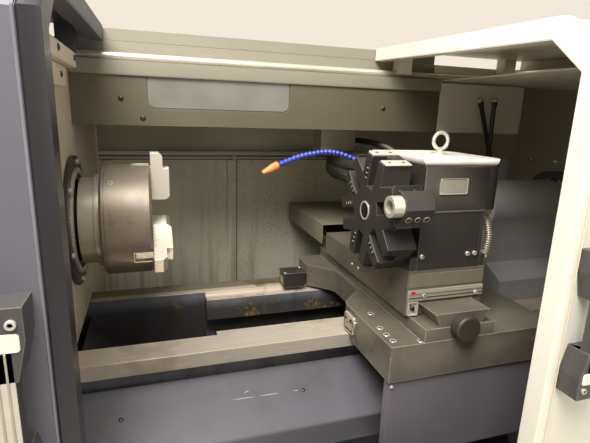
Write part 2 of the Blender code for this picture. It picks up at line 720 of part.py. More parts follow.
def main_drive():
    """The main motor on the left pedestal, its pulley and shaft, and the belt up to the spindle."""
    left = PULLEY_LEFT + PULLEY_WIDTH + PULLEY_GAP / 2
    right = left + MOTOR_LENGTH
    y, z = MOTOR_AXIS
    outline = []
    for k in range(FIN_COUNT):
        for share, radius in ((0, MOTOR_DIAMETER / 2), (FIN_SHARE, MOTOR_DIAMETER / 2)):
            angle = 2 * math.pi * (k + share - FIN_SHARE / 2) / FIN_COUNT
            outline.append((y + radius * math.cos(angle), z + radius * math.sin(angle)))
        for share in (FIN_SHARE, 1):
            angle = 2 * math.pi * (k + share - FIN_SHARE / 2) / FIN_COUNT
            radius = MOTOR_DIAMETER / 2 - FIN_DEPTH
            outline.append((y + radius * math.cos(angle), z + radius * math.sin(angle)))
    fins = prism("X", left + END_BELL, right - END_BELL, outline)
    bell = MOTOR_DIAMETER / 2 - FIN_DEPTH / 2
    profile = [
        (left, 0),
        (left, bell - END_BELL / 2),
        (left + END_BELL / 2, bell),
        (right - END_BELL / 2, bell),
        (right, bell - END_BELL / 2),
        (right, 0),
    ]
    foot_low = (left + END_BELL, y - MOTOR_DIAMETER / 3, PEDESTAL_TOP + SEAT)
    foot = box(foot_low, (right - END_BELL, y + MOTOR_DIAMETER / 3, z - MOTOR_DIAMETER / 3))
    shaft_hole = cylinder("X", left - OVERRUN, left + END_BELL, MOTOR_AXIS, MOTOR_SHAFT + 2 * BORE_FIT)
    body = turned("X", MOTOR_AXIS, profile, FIN_COUNT)
    part("main_motor", MOTOR_GREY, body, joined=[fins, foot], cut=[shaft_hole])
    rim = grooved_profile(PULLEY_LEFT, PULLEY_WIDTH, MOTOR_PULLEY_DIAMETER)
    profile = [(PULLEY_LEFT, 0)] + rim
    profile += [(PULLEY_LEFT + PULLEY_WIDTH, MOTOR_SHAFT / 2)]
    profile += [(left + END_BELL - RUN, MOTOR_SHAFT / 2), (left + END_BELL - RUN, 0)]
    origin = (PULLEY_LEFT, *MOTOR_AXIS)
    part("motor_pulley", CAST_GREY, turned("X", MOTOR_AXIS, profile, 24), origin=origin)
    inner = belt_loop(BORE_FIT)
    outer = belt_loop(BORE_FIT + BELT_THICKNESS)
    width = PULLEY_WIDTH - PULLEY_WIDTH / GROOVE_COUNT
    start = PULLEY_LEFT + (PULLEY_WIDTH - width) / 2
    hollow = prism("X", start - OVERRUN, start + width + OVERRUN, inner)
    part("drive_belt", RUBBER, prism("X", start, start + width, outer), cut=[hollow])


def belt_loop(offset, steps=32):
    """The loop round both pulleys: an arc on each, joined by their common tangents."""
    first, second = Vector(SPINDLE_AXIS), Vector(MOTOR_AXIS)
    radii = (SPINDLE_PULLEY_DIAMETER / 2 + offset, MOTOR_PULLEY_DIAMETER / 2 + offset)
    span = second - first
    heading = math.atan2(span.y, span.x)
    spread = math.acos((radii[0] - radii[1]) / span.length)
    arcs = ((first, radii[0], spread, 2 * math.pi - spread), (second, radii[1], -spread, spread))
    points = []
    for centre, radius, start, end in arcs:
        for k in range(steps + 1):
            angle = heading + start + (end - start) * k / steps
            points.append((centre.x + radius * math.cos(angle), centre.y + radius * math.sin(angle)))
    return points


CHUCK_CHAMFER = 0.005
JAW_COUNT = 3
JAW_WIDTH = 0.040
JAW_INNER = 0.046
JAW_OUTER = 0.153
JAW_REACH = 0.041
JAW_STEP = 0.034
JAW_TONGUE = 0.024
JAW_SLOT_DEPTH = 0.037
JAW_TRAVEL = 0.0044
JAW_CHAMFER = 0.008


def chuck():
    """The chuck body with three slots open to its rim, and the jaws that slide in them."""
    radius = CHUCK_DIAMETER / 2
    bore = SPINDLE_BORE / 2
    profile = [
        (CHUCK_START, bore),
        (CHUCK_START, radius - CHUCK_CHAMFER),
        (CHUCK_START + CHUCK_CHAMFER, radius),
        (CHUCK_FACE - CHUCK_CHAMFER, radius),
        (CHUCK_FACE, radius - CHUCK_CHAMFER),
        (CHUCK_FACE, bore),
    ]
    origin = (NOSE_START, *SPINDLE_AXIS)
    centre = (CHUCK_FACE, *SPINDLE_AXIS)
    slots = []
    for k in range(JAW_COUNT):
        half = JAW_TONGUE / 2 + BORE_FIT
        low = (CHUCK_FACE - JAW_SLOT_DEPTH, SPINDLE_Y - half, SPINDLE_HEIGHT + JAW_INNER - JAW_TRAVEL - RUN)
        slot = box(low, (CHUCK_FACE + OVERRUN, SPINDLE_Y + half, SPINDLE_HEIGHT + radius + OVERRUN))
        slots.append(moved(slot, turn_about(centre, "X", 2 * math.pi * k / JAW_COUNT)))
    body = turned("X", SPINDLE_AXIS, profile, ROUND_STEPS * 2, closed=True)
    part("chuck_body", BRUSHED_STEEL, body, cut=slots, origin=origin)
    for k in range(JAW_COUNT):
        step = CHUCK_FACE + JAW_REACH - JAW_REACH / 3
        top = [
            (CHUCK_FACE + RUN / 4, JAW_INNER),
            (CHUCK_FACE + JAW_REACH - JAW_CHAMFER, JAW_INNER),
            (CHUCK_FACE + JAW_REACH, JAW_INNER + JAW_CHAMFER),
            (CHUCK_FACE + JAW_REACH, JAW_OUTER - JAW_STEP),
            (step, JAW_OUTER - JAW_STEP),
            (step, JAW_OUTER - JAW_CHAMFER),
            (step - JAW_CHAMFER, JAW_OUTER),
            (CHUCK_FACE + RUN / 4, JAW_OUTER),
        ]
        top = [(x, SPINDLE_HEIGHT + r) for x, r in top]
        tongue_low = (CHUCK_FACE - JAW_SLOT_DEPTH + SEAT, SPINDLE_Y - JAW_TONGUE / 2, SPINDLE_HEIGHT + JAW_INNER)
        tongue_high = (
            CHUCK_FACE + JAW_CHAMFER,
            SPINDLE_Y + JAW_TONGUE / 2,
            SPINDLE_HEIGHT + radius - CHUCK_CHAMFER,
        )
        turn = turn_about(centre, "X", 2 * math.pi * k / JAW_COUNT)
        block = moved(prism("Y", SPINDLE_Y - JAW_WIDTH / 2, SPINDLE_Y + JAW_WIDTH / 2, top), turn)
        tongue = moved(box(tongue_low, tongue_high), turn)
        seat = turn @ Vector((CHUCK_FACE, SPINDLE_Y, SPINDLE_HEIGHT + JAW_INNER))
        part(f"jaw_{k + 1}", JAW_STEEL, block, joined=[tongue], origin=tuple(seat))


WING_LEFT = 0.066
WAIST_DEPTH = 0.150
SADDLE_CORNER = 0.012
WAIST_ROUND = 0.040
RIDGE_TOP_WIDTH = 0.130
RIDGE_FOOT_WIDTH = 0.100
RIDGE_HEIGHT = 0.030
RISE_WIDTH = 0.170
RISE_HEIGHT = 0.0285
CROSS_SCREW_DIAMETER = 0.025
CAP_DIAMETER = 0.057
CAP_LENGTH = 0.024
CAP_RIM = 0.003
APRON_DROP = 0.208
APRON_DEPTH = 0.022
APRON_SETBACK = 0.006
APRON_CORNER = 0.014
SERVO_BRACKET = 0.050
SERVO_LENGTH = 0.190
SERVO_SIZE = 0.110
COVER_RISE = 0.023
COVER_SIDE = 0.060
COVER_MARGIN = 0.010
COVER_LENGTH = 0.345
NUT_LENGTH = 0.100
NUT_ARM = 0.008
NUT_SIZE = 0.052
NUT_CLEARANCE = 0.005

SADDLE_BOTTOM = BED_TOP + SEAT
APRON_BOTTOM = BED_TOP - APRON_DROP
RISE_TOP = SADDLE_TOP + RISE_HEIGHT
RIDGE_Z = RISE_TOP + RIDGE_HEIGHT
CROSS_SCREW_AXIS = (SLIDE_MIDDLE, RISE_TOP)
SLIDE_TOP = RIDGE_Z + SLIDE_THICKNESS
COVER_TOP = SLIDE_TOP + COVER_RISE


def ridge_outline(gap, foot):
    """The dovetail on the saddle, wider at the top, as an outline across it."""
    top = RIDGE_TOP_WIDTH / 2 + gap
    low = RIDGE_FOOT_WIDTH / 2 + gap
    return [
        (SLIDE_MIDDLE - low, RISE_TOP - foot),
        (SLIDE_MIDDLE + low, RISE_TOP - foot),
        (SLIDE_MIDDLE + low, RISE_TOP),
        (SLIDE_MIDDLE + top, RIDGE_Z + gap),
        (SLIDE_MIDDLE - top, RIDGE_Z + gap),
        (SLIDE_MIDDLE - low, RISE_TOP),
    ]


def saddle():
    """The saddle: four wings on the outer ways, a waist between them, and a raised block with the dovetail on it."""
    wing_back = BED_BACK - WAY_WIDTH - SADDLE_CORNER
    wing_front = SADDLE_FRONT + WAIST_DEPTH * 1.5
    waist_left = SADDLE_LEFT + WING_LEFT
    waist_right = SADDLE_RIGHT - WING_LEFT * 2
    plan = [
        (SADDLE_LEFT, SADDLE_FRONT),
        (SADDLE_RIGHT, SADDLE_FRONT),
        (SADDLE_RIGHT, wing_front),
        (waist_right, wing_front + WING_LEFT),
        (waist_right, wing_back - WING_LEFT),
        (SADDLE_RIGHT - WING_LEFT, wing_back),
        (SADDLE_RIGHT - WING_LEFT, SADDLE_BACK),
        (SADDLE_LEFT, SADDLE_BACK),
        (SADDLE_LEFT, wing_back),
        (waist_left, wing_back - WING_LEFT),
        (waist_left, wing_front + WING_LEFT),
        (SADDLE_LEFT, wing_front),
    ]
    rounds = [RUN, RUN, WAIST_ROUND, WAIST_ROUND, WAIST_ROUND, SADDLE_CORNER] + [SADDLE_CORNER] * 2
    rounds += [SADDLE_CORNER, WAIST_ROUND, WAIST_ROUND, WAIST_ROUND]
    plate = prism("Z", SADDLE_BOTTOM, SADDLE_TOP, corner_points(plan, rounds))
    skirt_low = (SADDLE_LEFT, SADDLE_FRONT, SADDLE_BOTTOM - SADDLE_OVERHANG)
    skirt = box(skirt_low, (SADDLE_RIGHT, BED_FRONT - SEAT, SADDLE_BOTTOM + WAIST_ROUND))
    ridge_end = SADDLE_BACK + SERVO_BRACKET
    rise_front = SADDLE_FRONT + SEAT
    ridge = prism("Y", rise_front + SEAT, ridge_end, ridge_outline(0, SADDLE_CORNER))
    rise_low = (SLIDE_MIDDLE - RISE_WIDTH / 2, rise_front, SADDLE_TOP - SADDLE_CORNER)
    rise = box(rise_low, (SLIDE_MIDDLE + RISE_WIDTH / 2, SADDLE_BACK - SEAT, RISE_TOP))
    bracket_low = (SLIDE_MIDDLE - SERVO_SIZE / 2, SADDLE_BACK - SADDLE_CORNER, SADDLE_BOTTOM)
    bracket = box(bracket_low, (SLIDE_MIDDLE + SERVO_SIZE / 2, ridge_end, RISE_TOP - RUN))
    skirt_back = BED_FRONT - RUN
    arm_top = BED_TOP - WAY_DEPTH - UNDERCUT_FALL - RUN
    leg_back = BED_FRONT + WAY_UNDERCUT - NUT_CLEARANCE
    arm = [
        (skirt_back, SADDLE_BOTTOM),
        (skirt_back, arm_top),
        (leg_back, arm_top),
        (leg_back, SCREW_Z),
        (leg_back - NUT_ARM, SCREW_Z),
        (leg_back - NUT_ARM, arm_top - NUT_ARM),
        (skirt_back - NUT_ARM, arm_top - NUT_ARM),
        (skirt_back - NUT_ARM, SADDLE_BOTTOM),
    ]
    nut_right = SLIDE_MIDDLE + NUT_LENGTH / 2
    nut_arm = prism("X", SLIDE_MIDDLE - NUT_LENGTH / 2, nut_right, arm)
    nut_low = (SLIDE_MIDDLE - NUT_LENGTH / 2, leg_back - NUT_SIZE, SCREW_Z - NUT_SIZE / 2)
    nut = box(nut_low, (nut_right, leg_back, SCREW_Z + NUT_SIZE / 2))
    nut_bore = cylinder(
        "X",
        nut_low[0] - OVERRUN,
        nut_right + OVERRUN,
        (SCREW_Y, SCREW_Z),
        SCREW_DIAMETER + 2 * BORE_FIT,
    )
    tunnel_size = CROSS_SCREW_DIAMETER + 2 * BORE_FIT
    tunnel = cylinder("Y", SADDLE_FRONT - OVERRUN, ridge_end + OVERRUN, CROSS_SCREW_AXIS, tunnel_size, 16)
    origin = (SADDLE_LEFT, SPINDLE_Y, BED_TOP)
    part("saddle", GROUND_IRON, plate, joined=[skirt, rise, ridge, bracket, nut_arm, nut], cut=[tunnel, nut_bore], origin=origin)
    screw_start = SADDLE_FRONT + CAP_RIM
    screw_end = ridge_end - CAP_RIM
    screw = cylinder("Y", screw_start, screw_end, CROSS_SCREW_AXIS, CROSS_SCREW_DIAMETER, 16)
    screw_origin = (CROSS_SCREW_AXIS[0], screw_start, CROSS_SCREW_AXIS[1])
    part("cross_screw", BRIGHT_STEEL, screw, origin=screw_origin)
    cap_end = rise_front - SEAT
    cap = [
        (cap_end, 0),
        (cap_end, CAP_DIAMETER / 2),
        (cap_end - CAP_LENGTH + CAP_RIM, CAP_DIAMETER / 2),
        (cap_end - CAP_LENGTH, CAP_DIAMETER / 2 - CAP_RIM),
        (cap_end - CAP_LENGTH, 0),
    ]
    part("screw_cap", BLACK_PLASTIC, turned("Y", CROSS_SCREW_AXIS, cap), origin=origin)
    apron_outline = corner_points(
        rectangle(
            (SADDLE_LEFT + APRON_SETBACK, APRON_BOTTOM),
            (SADDLE_RIGHT - APRON_SETBACK, SADDLE_BOTTOM - SADDLE_OVERHANG - SEAT),
        ),
        [APRON_CORNER, APRON_CORNER, 0, 0],
    )
    apron_front = SADDLE_FRONT + APRON_SETBACK
    apron = prism("Y", apron_front, apron_front + APRON_DEPTH, apron_outline)
    part("apron", SLATE, apron, origin=origin)


def cross_servo():
    """The motor behind the saddle, and the folded cover over it that the cross-slide runs into."""
    start = SADDLE_BACK + SERVO_BRACKET + SEAT
    origin = (SADDLE_LEFT, SPINDLE_Y, BED_TOP)
    x, z = CROSS_SCREW_AXIS
    half = SERVO_SIZE / 2 - SADDLE_CORNER
    square = corner_points(rectangle((x - half, z - half), (x + half, z + half)), SADDLE_CORNER)
    tail = cylinder("Y", start + SERVO_LENGTH - OVERRUN, start + SERVO_LENGTH + CAP_LENGTH, (x, z), CAP_DIAMETER)
    part("cross_servo", BLACK_PLASTIC, prism("Y", start, start + SERVO_LENGTH, square), joined=[tail], origin=origin)
    left = SLIDE_LEFT - COVER_MARGIN
    right = SLIDE_RIGHT + COVER_MARGIN
    foot = COVER_TOP - COVER_SIDE
    line = [(left, foot), (left, COVER_TOP), (right, COVER_TOP), (right, foot)]
    begin = SLIDE_TAIL + COVER_MARGIN
    sheet = prism("Y", begin, begin + COVER_LENGTH, folded(line[::-1], SHEET))
    post_low = (SLIDE_MIDDLE - SERVO_SIZE / 2, start + SERVO_LENGTH / 2, z + half + SEAT)
    post_high = (SLIDE_MIDDLE + SERVO_SIZE / 2, start + SERVO_LENGTH, COVER_TOP - SHEET / 2)
    part("cross_servo_cover", SLATE_DARK, sheet, joined=[box(post_low, post_high)], origin=origin)


SPACER_HEIGHT = 0.037
SPACER_LENGTH = 0.225
SLIDE_GAP = 0.0015
TURRET_FOOT = 0.027
HOUSING_WIDTH = 0.155
HOUSING_DEPTH = 0.235
HOUSING_INSET = 0.017
MOTOR_BOX_RISE = 0.062
MOTOR_BOX_HEIGHT = 0.107
MOTOR_BOX_END = 0.050
MOTOR_BOX_CHAMFER = 0.016
HOOD_LENGTH = 0.320
HOOD_RADIUS = 0.045
HOOD_DROP = 0.025
HOOD_FOOT = 0.050
EYE_DIAMETER = 0.045
EYE_WIRE = 0.008
EYE_COLLAR = 0.020

MOTOR_BOX_BOTTOM = SPINDLE_HEIGHT + MOTOR_BOX_RISE
MOTOR_BOX_TOP = MOTOR_BOX_BOTTOM + MOTOR_BOX_HEIGHT
HOUSING_LEFT = SLIDE_LEFT + HOUSING_INSET
HOUSING_RIGHT = HOUSING_LEFT + HOUSING_WIDTH
TURRET_BASE = SLIDE_TOP + SPACER_HEIGHT + SEAT


def cross_slide():
    """The cross-slide on its dovetail, with the raised pad for the turret."""
    groove = prism("Y", SLIDE_NOSE - OVERRUN, SLIDE_TAIL + OVERRUN, ridge_outline(SEAT, RIDGE_HEIGHT))
    body = box((SLIDE_LEFT, SLIDE_NOSE, RISE_TOP + SLIDE_GAP), (SLIDE_RIGHT, SLIDE_TAIL, SLIDE_TOP))
    pad_low = (SLIDE_LEFT, SLIDE_NOSE, SLIDE_TOP - SLIDE_GAP)
    pad = box(pad_low, (SLIDE_RIGHT, SLIDE_NOSE + SPACER_LENGTH, SLIDE_TOP + SPACER_HEIGHT))
    origin = (SLIDE_MIDDLE, SLIDE_NOSE, RISE_TOP)
    part("cross_slide", GROUND_IRON, body, joined=[pad], cut=[groove], origin=origin)


def turret_housing():
    """The turret's housing: foot, lower block, motor box with a rounded end, hub for the disc, and rear hood."""
    front = SLIDE_NOSE
    back = front + HOUSING_DEPTH
    block = box((HOUSING_LEFT, front, TURRET_BASE), (HOUSING_RIGHT, back, MOTOR_BOX_BOTTOM + RUN))
    foot_low = (SLIDE_LEFT + RUN, front + RUN, TURRET_BASE)
    foot = box(foot_low, (SLIDE_RIGHT - RUN, back - RUN * 2, TURRET_BASE + TURRET_FOOT))
    plan = rectangle((HOUSING_LEFT + RUN, front + RUN), (HOUSING_RIGHT + MOTOR_BOX_END, back + RUN))
    plan = corner_points(plan, [0, MOTOR_BOX_END, MOTOR_BOX_END, 0], 6)
    motor_box = prism("Z", MOTOR_BOX_BOTTOM, MOTOR_BOX_TOP, plan)
    bevel = [
        (front - OVERRUN, MOTOR_BOX_TOP + OVERRUN),
        (front - OVERRUN, MOTOR_BOX_TOP - MOTOR_BOX_CHAMFER - OVERRUN),
        (front + MOTOR_BOX_CHAMFER + OVERRUN, MOTOR_BOX_TOP + OVERRUN),
    ]
    edge = prism("X", HOUSING_LEFT - OVERRUN, HOUSING_RIGHT + MOTOR_BOX_END + OVERRUN, bevel)
    hood_top = MOTOR_BOX_TOP - HOOD_DROP
    hood_axis = (HOUSING_LEFT + HOOD_RADIUS, hood_top - HOOD_RADIUS)
    hood_end = back + HOOD_LENGTH
    hood_profile = [
        (back - OVERRUN, 0),
        (back - OVERRUN, HOOD_RADIUS),
        (hood_end - HOOD_RADIUS / 2, HOOD_RADIUS),
        (hood_end - HOOD_RADIUS / 6, HOOD_RADIUS * 0.75),
        (hood_end, HOOD_RADIUS * 0.4),
        (hood_end, 0),
    ]
    hood = turned("Y", hood_axis, hood_profile)
    origin = (SLIDE_MIDDLE, SLIDE_NOSE, RISE_TOP)
    seat_low = (hood_axis[0] - HOOD_FOOT / 2, hood_end - HOOD_RADIUS / 2 - HOOD_FOOT, hood_axis[1])
    seat_high = (hood_axis[0] + HOOD_FOOT / 2, hood_end - HOOD_RADIUS / 2, hood_top)
    joined = [foot, motor_box, hood, box(seat_low, seat_high)]
    part("turret_housing", TURRET_BLACK, block, joined=joined, cut=[edge], origin=origin)
    eye_x = HOUSING_RIGHT - EYE_DIAMETER
    eye_y = front + HOUSING_DEPTH / 2
    base = MOTOR_BOX_TOP + SEAT
    centre = Vector((eye_x, eye_y, base + EYE_WIRE + EYE_DIAMETER / 2))
    eye = torus(centre, EYE_DIAMETER / 2 - EYE_WIRE / 2, EYE_WIRE / 2)
    collar = turned("Z", (eye_x, eye_y), [
        (base, 0),
        (base, EYE_COLLAR / 2),
        (base + EYE_WIRE / 2, EYE_COLLAR / 2),
        (base + EYE_WIRE * 1.5, EYE_WIRE / 2),
        (base + EYE_WIRE * 1.5, 0),
    ], 16)
    part("eyebolt", BRIGHT_STEEL, eye, joined=[collar], origin=origin)


def torus(centre, major, minor, steps=24, sides=10):
    """A ring of round wire that stands in the XZ plane."""
    mesh = bmesh.new()
    rows = []
    for k in range(steps):
        angle = 2 * math.pi * k / steps
        row = []
        for n in range(sides):
            turn = 2 * math.pi * n / sides
            reach = major + minor * math.cos(turn)
            offset = (reach * math.cos(angle), minor * math.sin(turn), reach * math.sin(angle))
            row.append(mesh.verts.new(centre + Vector(offset)))
        rows.append(row)
    for k in range(steps):
        first, second = rows[k], rows[(k + 1) % steps]
        for n in range(sides):
            after = (n + 1) % sides
            mesh.faces.new((first[n], first[after], second[after], second[n]))
    bmesh.ops.recalc_face_normals(mesh, faces=mesh.faces)
    return mesh


def tube(points, diameter, sides=12):
    """Round wire or hose along a line of points, closed at both ends."""
    mesh = bmesh.new()
    line = [Vector(point) for point in points]
    side = (line[1] - line[0]).orthogonal()
    rows = []
    for k, point in enumerate(line):
        heading = (line[min(k + 1, len(line) - 1)] - line[max(k - 1, 0)]).normalized()
        side = (side - heading * side.dot(heading)).normalized()
        other = heading.cross(side)
        angles = [2 * math.pi * n / sides for n in range(sides)]
        row = [point + (side * math.cos(angle) + other * math.sin(angle)) * diameter / 2 for angle in angles]
        rows.append([mesh.verts.new(place) for place in row])
    for first, second in zip(rows, rows[1:]):
        for n in range(sides):
            after = (n + 1) % sides
            mesh.faces.new((first[n], first[after], second[after], second[n]))
    mesh.faces.new(rows[0])
    mesh.faces.new(rows[-1][::-1])
    bmesh.ops.recalc_face_normals(mesh, faces=mesh.faces)
    return mesh


def smooth_line(points, steps=5):
    """A smooth curve through the points, as a longer line of points."""
    ends = [points[0]] + list(points) + [points[-1]]
    ends = [Vector(point) for point in ends]
    line = []
    for a, b, c, d in zip(ends, ends[1:], ends[2:], ends[3:]):
        for k in range(steps):
            t = k / steps
            bend = (c - a) * t
            bend += (a * 2 - b * 5 + c * 4 - d) * t * t
            bend += (b * 3 - a - c * 3 + d) * t * t * t
            line.append(b + bend / 2)
    return line + [ends[-1]]


ARM_WIDTH = 0.074
VALLEY_DIAMETER = 0.168
STATION_SLOT = 0.026
STATION_SLOT_DEPTH = 0.034
STATION_SLOT_INNER = 0.052
SPIGOT_DIAMETER = 0.110
BLOCK_HEIGHT = 0.056
BLOCK_REACH = 0.044
BLOCK_SLOPE = 0.018
SLEEVE_DIAMETER = 0.041
SLEEVE_BORE = 0.025
SLEEVE_LENGTH = 0.022


def turret_disc():
    """The tool disc: six arms with a slot in each, a spigot behind it, and one tool block with a boring sleeve."""
    start = DISC_FACE
    end = DISC_FACE + DISC_THICKNESS
    axis = (DISC_Y, DISC_Z)
    outline = []
    radius = DISC_ACROSS / 2
    for k in range(STATIONS):
        angle = 2 * math.pi * k / STATIONS + math.pi - TURRET_TURN
        out = Vector((math.cos(angle), math.sin(angle)))
        across = Vector((-out.y, out.x))
        valley = Matrix.Rotation(math.pi / STATIONS, 2) @ out * VALLEY_DIAMETER / 2
        for place in (out * radius - across * ARM_WIDTH / 2, out * radius + across * ARM_WIDTH / 2, valley):
            outline.append((axis[0] + place.x, axis[1] + place.y))
    body = prism("X", start, end, outline)
    spigot = cylinder("X", end - RUN, HOUSING_LEFT - SEAT, axis, SPIGOT_DIAMETER)
    slots = []
    for k in range(STATIONS):
        low = (start - OVERRUN, axis[0] + STATION_SLOT_INNER, axis[1] - STATION_SLOT / 2)
        high = (start + STATION_SLOT_DEPTH, axis[0] + radius + OVERRUN, axis[1] + STATION_SLOT / 2)
        slots.append(moved(box(low, high), turn_about((start, *axis), "X", 2 * math.pi * k / STATIONS - TURRET_TURN)))
    origin = (end, *axis)
    part("turret_disc", TURRET_BLACK, body, joined=[spigot], cut=slots, origin=origin)
    rim = axis[0] - radius - SEAT
    block = [
        (rim, axis[1] - BLOCK_HEIGHT / 2),
        (rim, axis[1] + BLOCK_HEIGHT / 2),
        (rim - BLOCK_REACH + BLOCK_SLOPE, axis[1] + BLOCK_HEIGHT / 2),
        (rim - BLOCK_REACH, axis[1] + BLOCK_HEIGHT / 2 - BLOCK_SLOPE),
        (rim - BLOCK_REACH, axis[1] - BLOCK_HEIGHT / 2 + BLOCK_SLOPE),
        (rim - BLOCK_REACH + BLOCK_SLOPE, axis[1] - BLOCK_HEIGHT / 2),
    ]
    turn = turn_about((start, *axis), "X", -TURRET_TURN)
    bore = cylinder("X", start - 2 * OVERRUN, end + OVERRUN, (rim - BLOCK_REACH / 2, axis[1]), SLEEVE_BORE)
    holder = moved(prism("X", start + RUN, end - RUN, block), turn)
    part("tool_block", TURRET_BLACK, holder, cut=[moved(bore, turn)], origin=origin)
    sleeve = ring(
        "X",
        start + RUN - SEAT - SLEEVE_LENGTH,
        start + RUN - SEAT,
        (rim - BLOCK_REACH / 2, axis[1]),
        SLEEVE_DIAMETER,
        SLEEVE_BORE,
    )
    part("boring_sleeve", BRIGHT_STEEL, moved(sleeve, turn), origin=origin)


CABLE_BOX_OVERHANG = 0.017
CABLE_BOX_SETBACK = 0.170
CABLE_BOX_SIZE = (0.109, 0.060, 0.0615)
HOSE_DIAMETER = 0.014
CABLE_DIAMETER = 0.018
CONDUIT_DIAMETER = 0.016
NOZZLE_DIAMETER = 0.019
HOSE_POINTS = (
    (0.1910, -0.195, 1.257),
    (0.184, -0.195, 1.257),
    (0.165, -0.177, 1.269),
    (0.125, -0.166, 1.285),
    (0.085, -0.170, 1.291),
    (0.043, -0.180, 1.288),
    (0.000, -0.190, 1.280),
    (-0.048, -0.200, 1.264),
)
NOZZLE_TIP = (-0.085, -0.208, 1.2475)
CABLE_POINTS = (
    (0.2680, 0.100, 1.305),
    (0.282, 0.100, 1.305),
    (0.297, 0.092, 1.304),
    (0.318, 0.060, 1.300),
    (0.330, -0.010, 1.292),
    (0.328, -0.090, 1.276),
    (0.326, -0.150, 1.262),
    (0.326, -0.1857, 1.260),
)
CONDUIT_POINTS = (
    (0.374, -0.392, 1.1908),
    (0.374, -0.392, 1.178),
    (0.378, -0.396, 1.160),
    (0.384, -0.400, 1.130),
    (0.382, -0.400, 1.098),
    (0.377, -0.400, 1.085),
    (0.3644, -0.400, 1.085),
)


def turret_services():
    """The cable box behind the turret with its cable, the conduit at the right, the coolant hose and its nozzle."""
    origin = (SLIDE_MIDDLE, SLIDE_NOSE, RISE_TOP)
    hood_top = MOTOR_BOX_TOP - HOOD_DROP
    low = Vector((SLIDE_LEFT - CABLE_BOX_OVERHANG, SPINDLE_Y + CABLE_BOX_SETBACK, hood_top + SEAT))
    high = low + Vector(CABLE_BOX_SIZE)
    outline = corner_points(rectangle((low.x, low.z), (high.x, high.z)), RUN)
    part("cable_box", PALE_STEEL, prism("Y", low.y, high.y, outline), origin=origin)
    cable = tube(smooth_line(CABLE_POINTS), CABLE_DIAMETER)
    part("turret_cable", BLACK_PLASTIC, cable, origin=origin)
    part("conduit", BRUSHED_STEEL, tube(smooth_line(CONDUIT_POINTS), CONDUIT_DIAMETER), origin=origin)
    part("coolant_hose", HOSE_BLUE, tube(smooth_line(HOSE_POINTS), HOSE_DIAMETER), origin=origin)
    tip = Vector(NOZZLE_TIP)
    end = Vector(HOSE_POINTS[-1])
    heading = (tip - end).normalized()
    length = (tip - end).length
    profile = [
        (0, 0),
        (0, NOZZLE_DIAMETER / 2),
        (length / 3, NOZZLE_DIAMETER / 2),
        (length, NOZZLE_DIAMETER / 4),
        (length, 0),
    ]
    frame = Matrix.Translation(end + heading * SEAT * 3) @ heading.to_track_quat("X", "Z").to_matrix().to_4x4()
    part("coolant_nozzle", NOZZLE_ORANGE, moved(turned("X", (0, 0), profile, 16), frame), origin=origin)


BARREL_DIAMETER = 0.150
TAIL_FOOT_HEIGHT = 0.070
TAIL_NECK = 0.130
TAIL_SIDE_GAP = 0.002
QUILL_OUT = 0.060
QUILL_CONE = 0.050
QUILL_POINT = 0.012
QUILL_INSET = 0.020
WHEEL_DIAMETER = 0.200
WHEEL_RIM = 0.018
WHEEL_HUB = 0.050
WHEEL_SPOKE = 0.014
WHEEL_GRIP = 0.018
WHEEL_GRIP_LENGTH = 0.070
LUG_SHIFT = 0.038
LUG_THICKNESS = 0.014
LUG_RISE = 0.132
LEVER_HUB = 0.036
LEVER_WIDTH = 0.020
LEVER_BAR = 0.013
LEVER_BASE_STEPS = ((0.090, 0.105), (0.040, 0.105))
LEVER_TIP_STEPS = ((0.014, 0.3085), (0.038, 0.3085))
LEVER_TIP_LENGTH = 0.020

QUILL_START = TAILSTOCK_LEFT - QUILL_OUT
LUG_Y = SPINDLE_Y + LUG_SHIFT
LUG_TOP = SPINDLE_HEIGHT + LUG_RISE


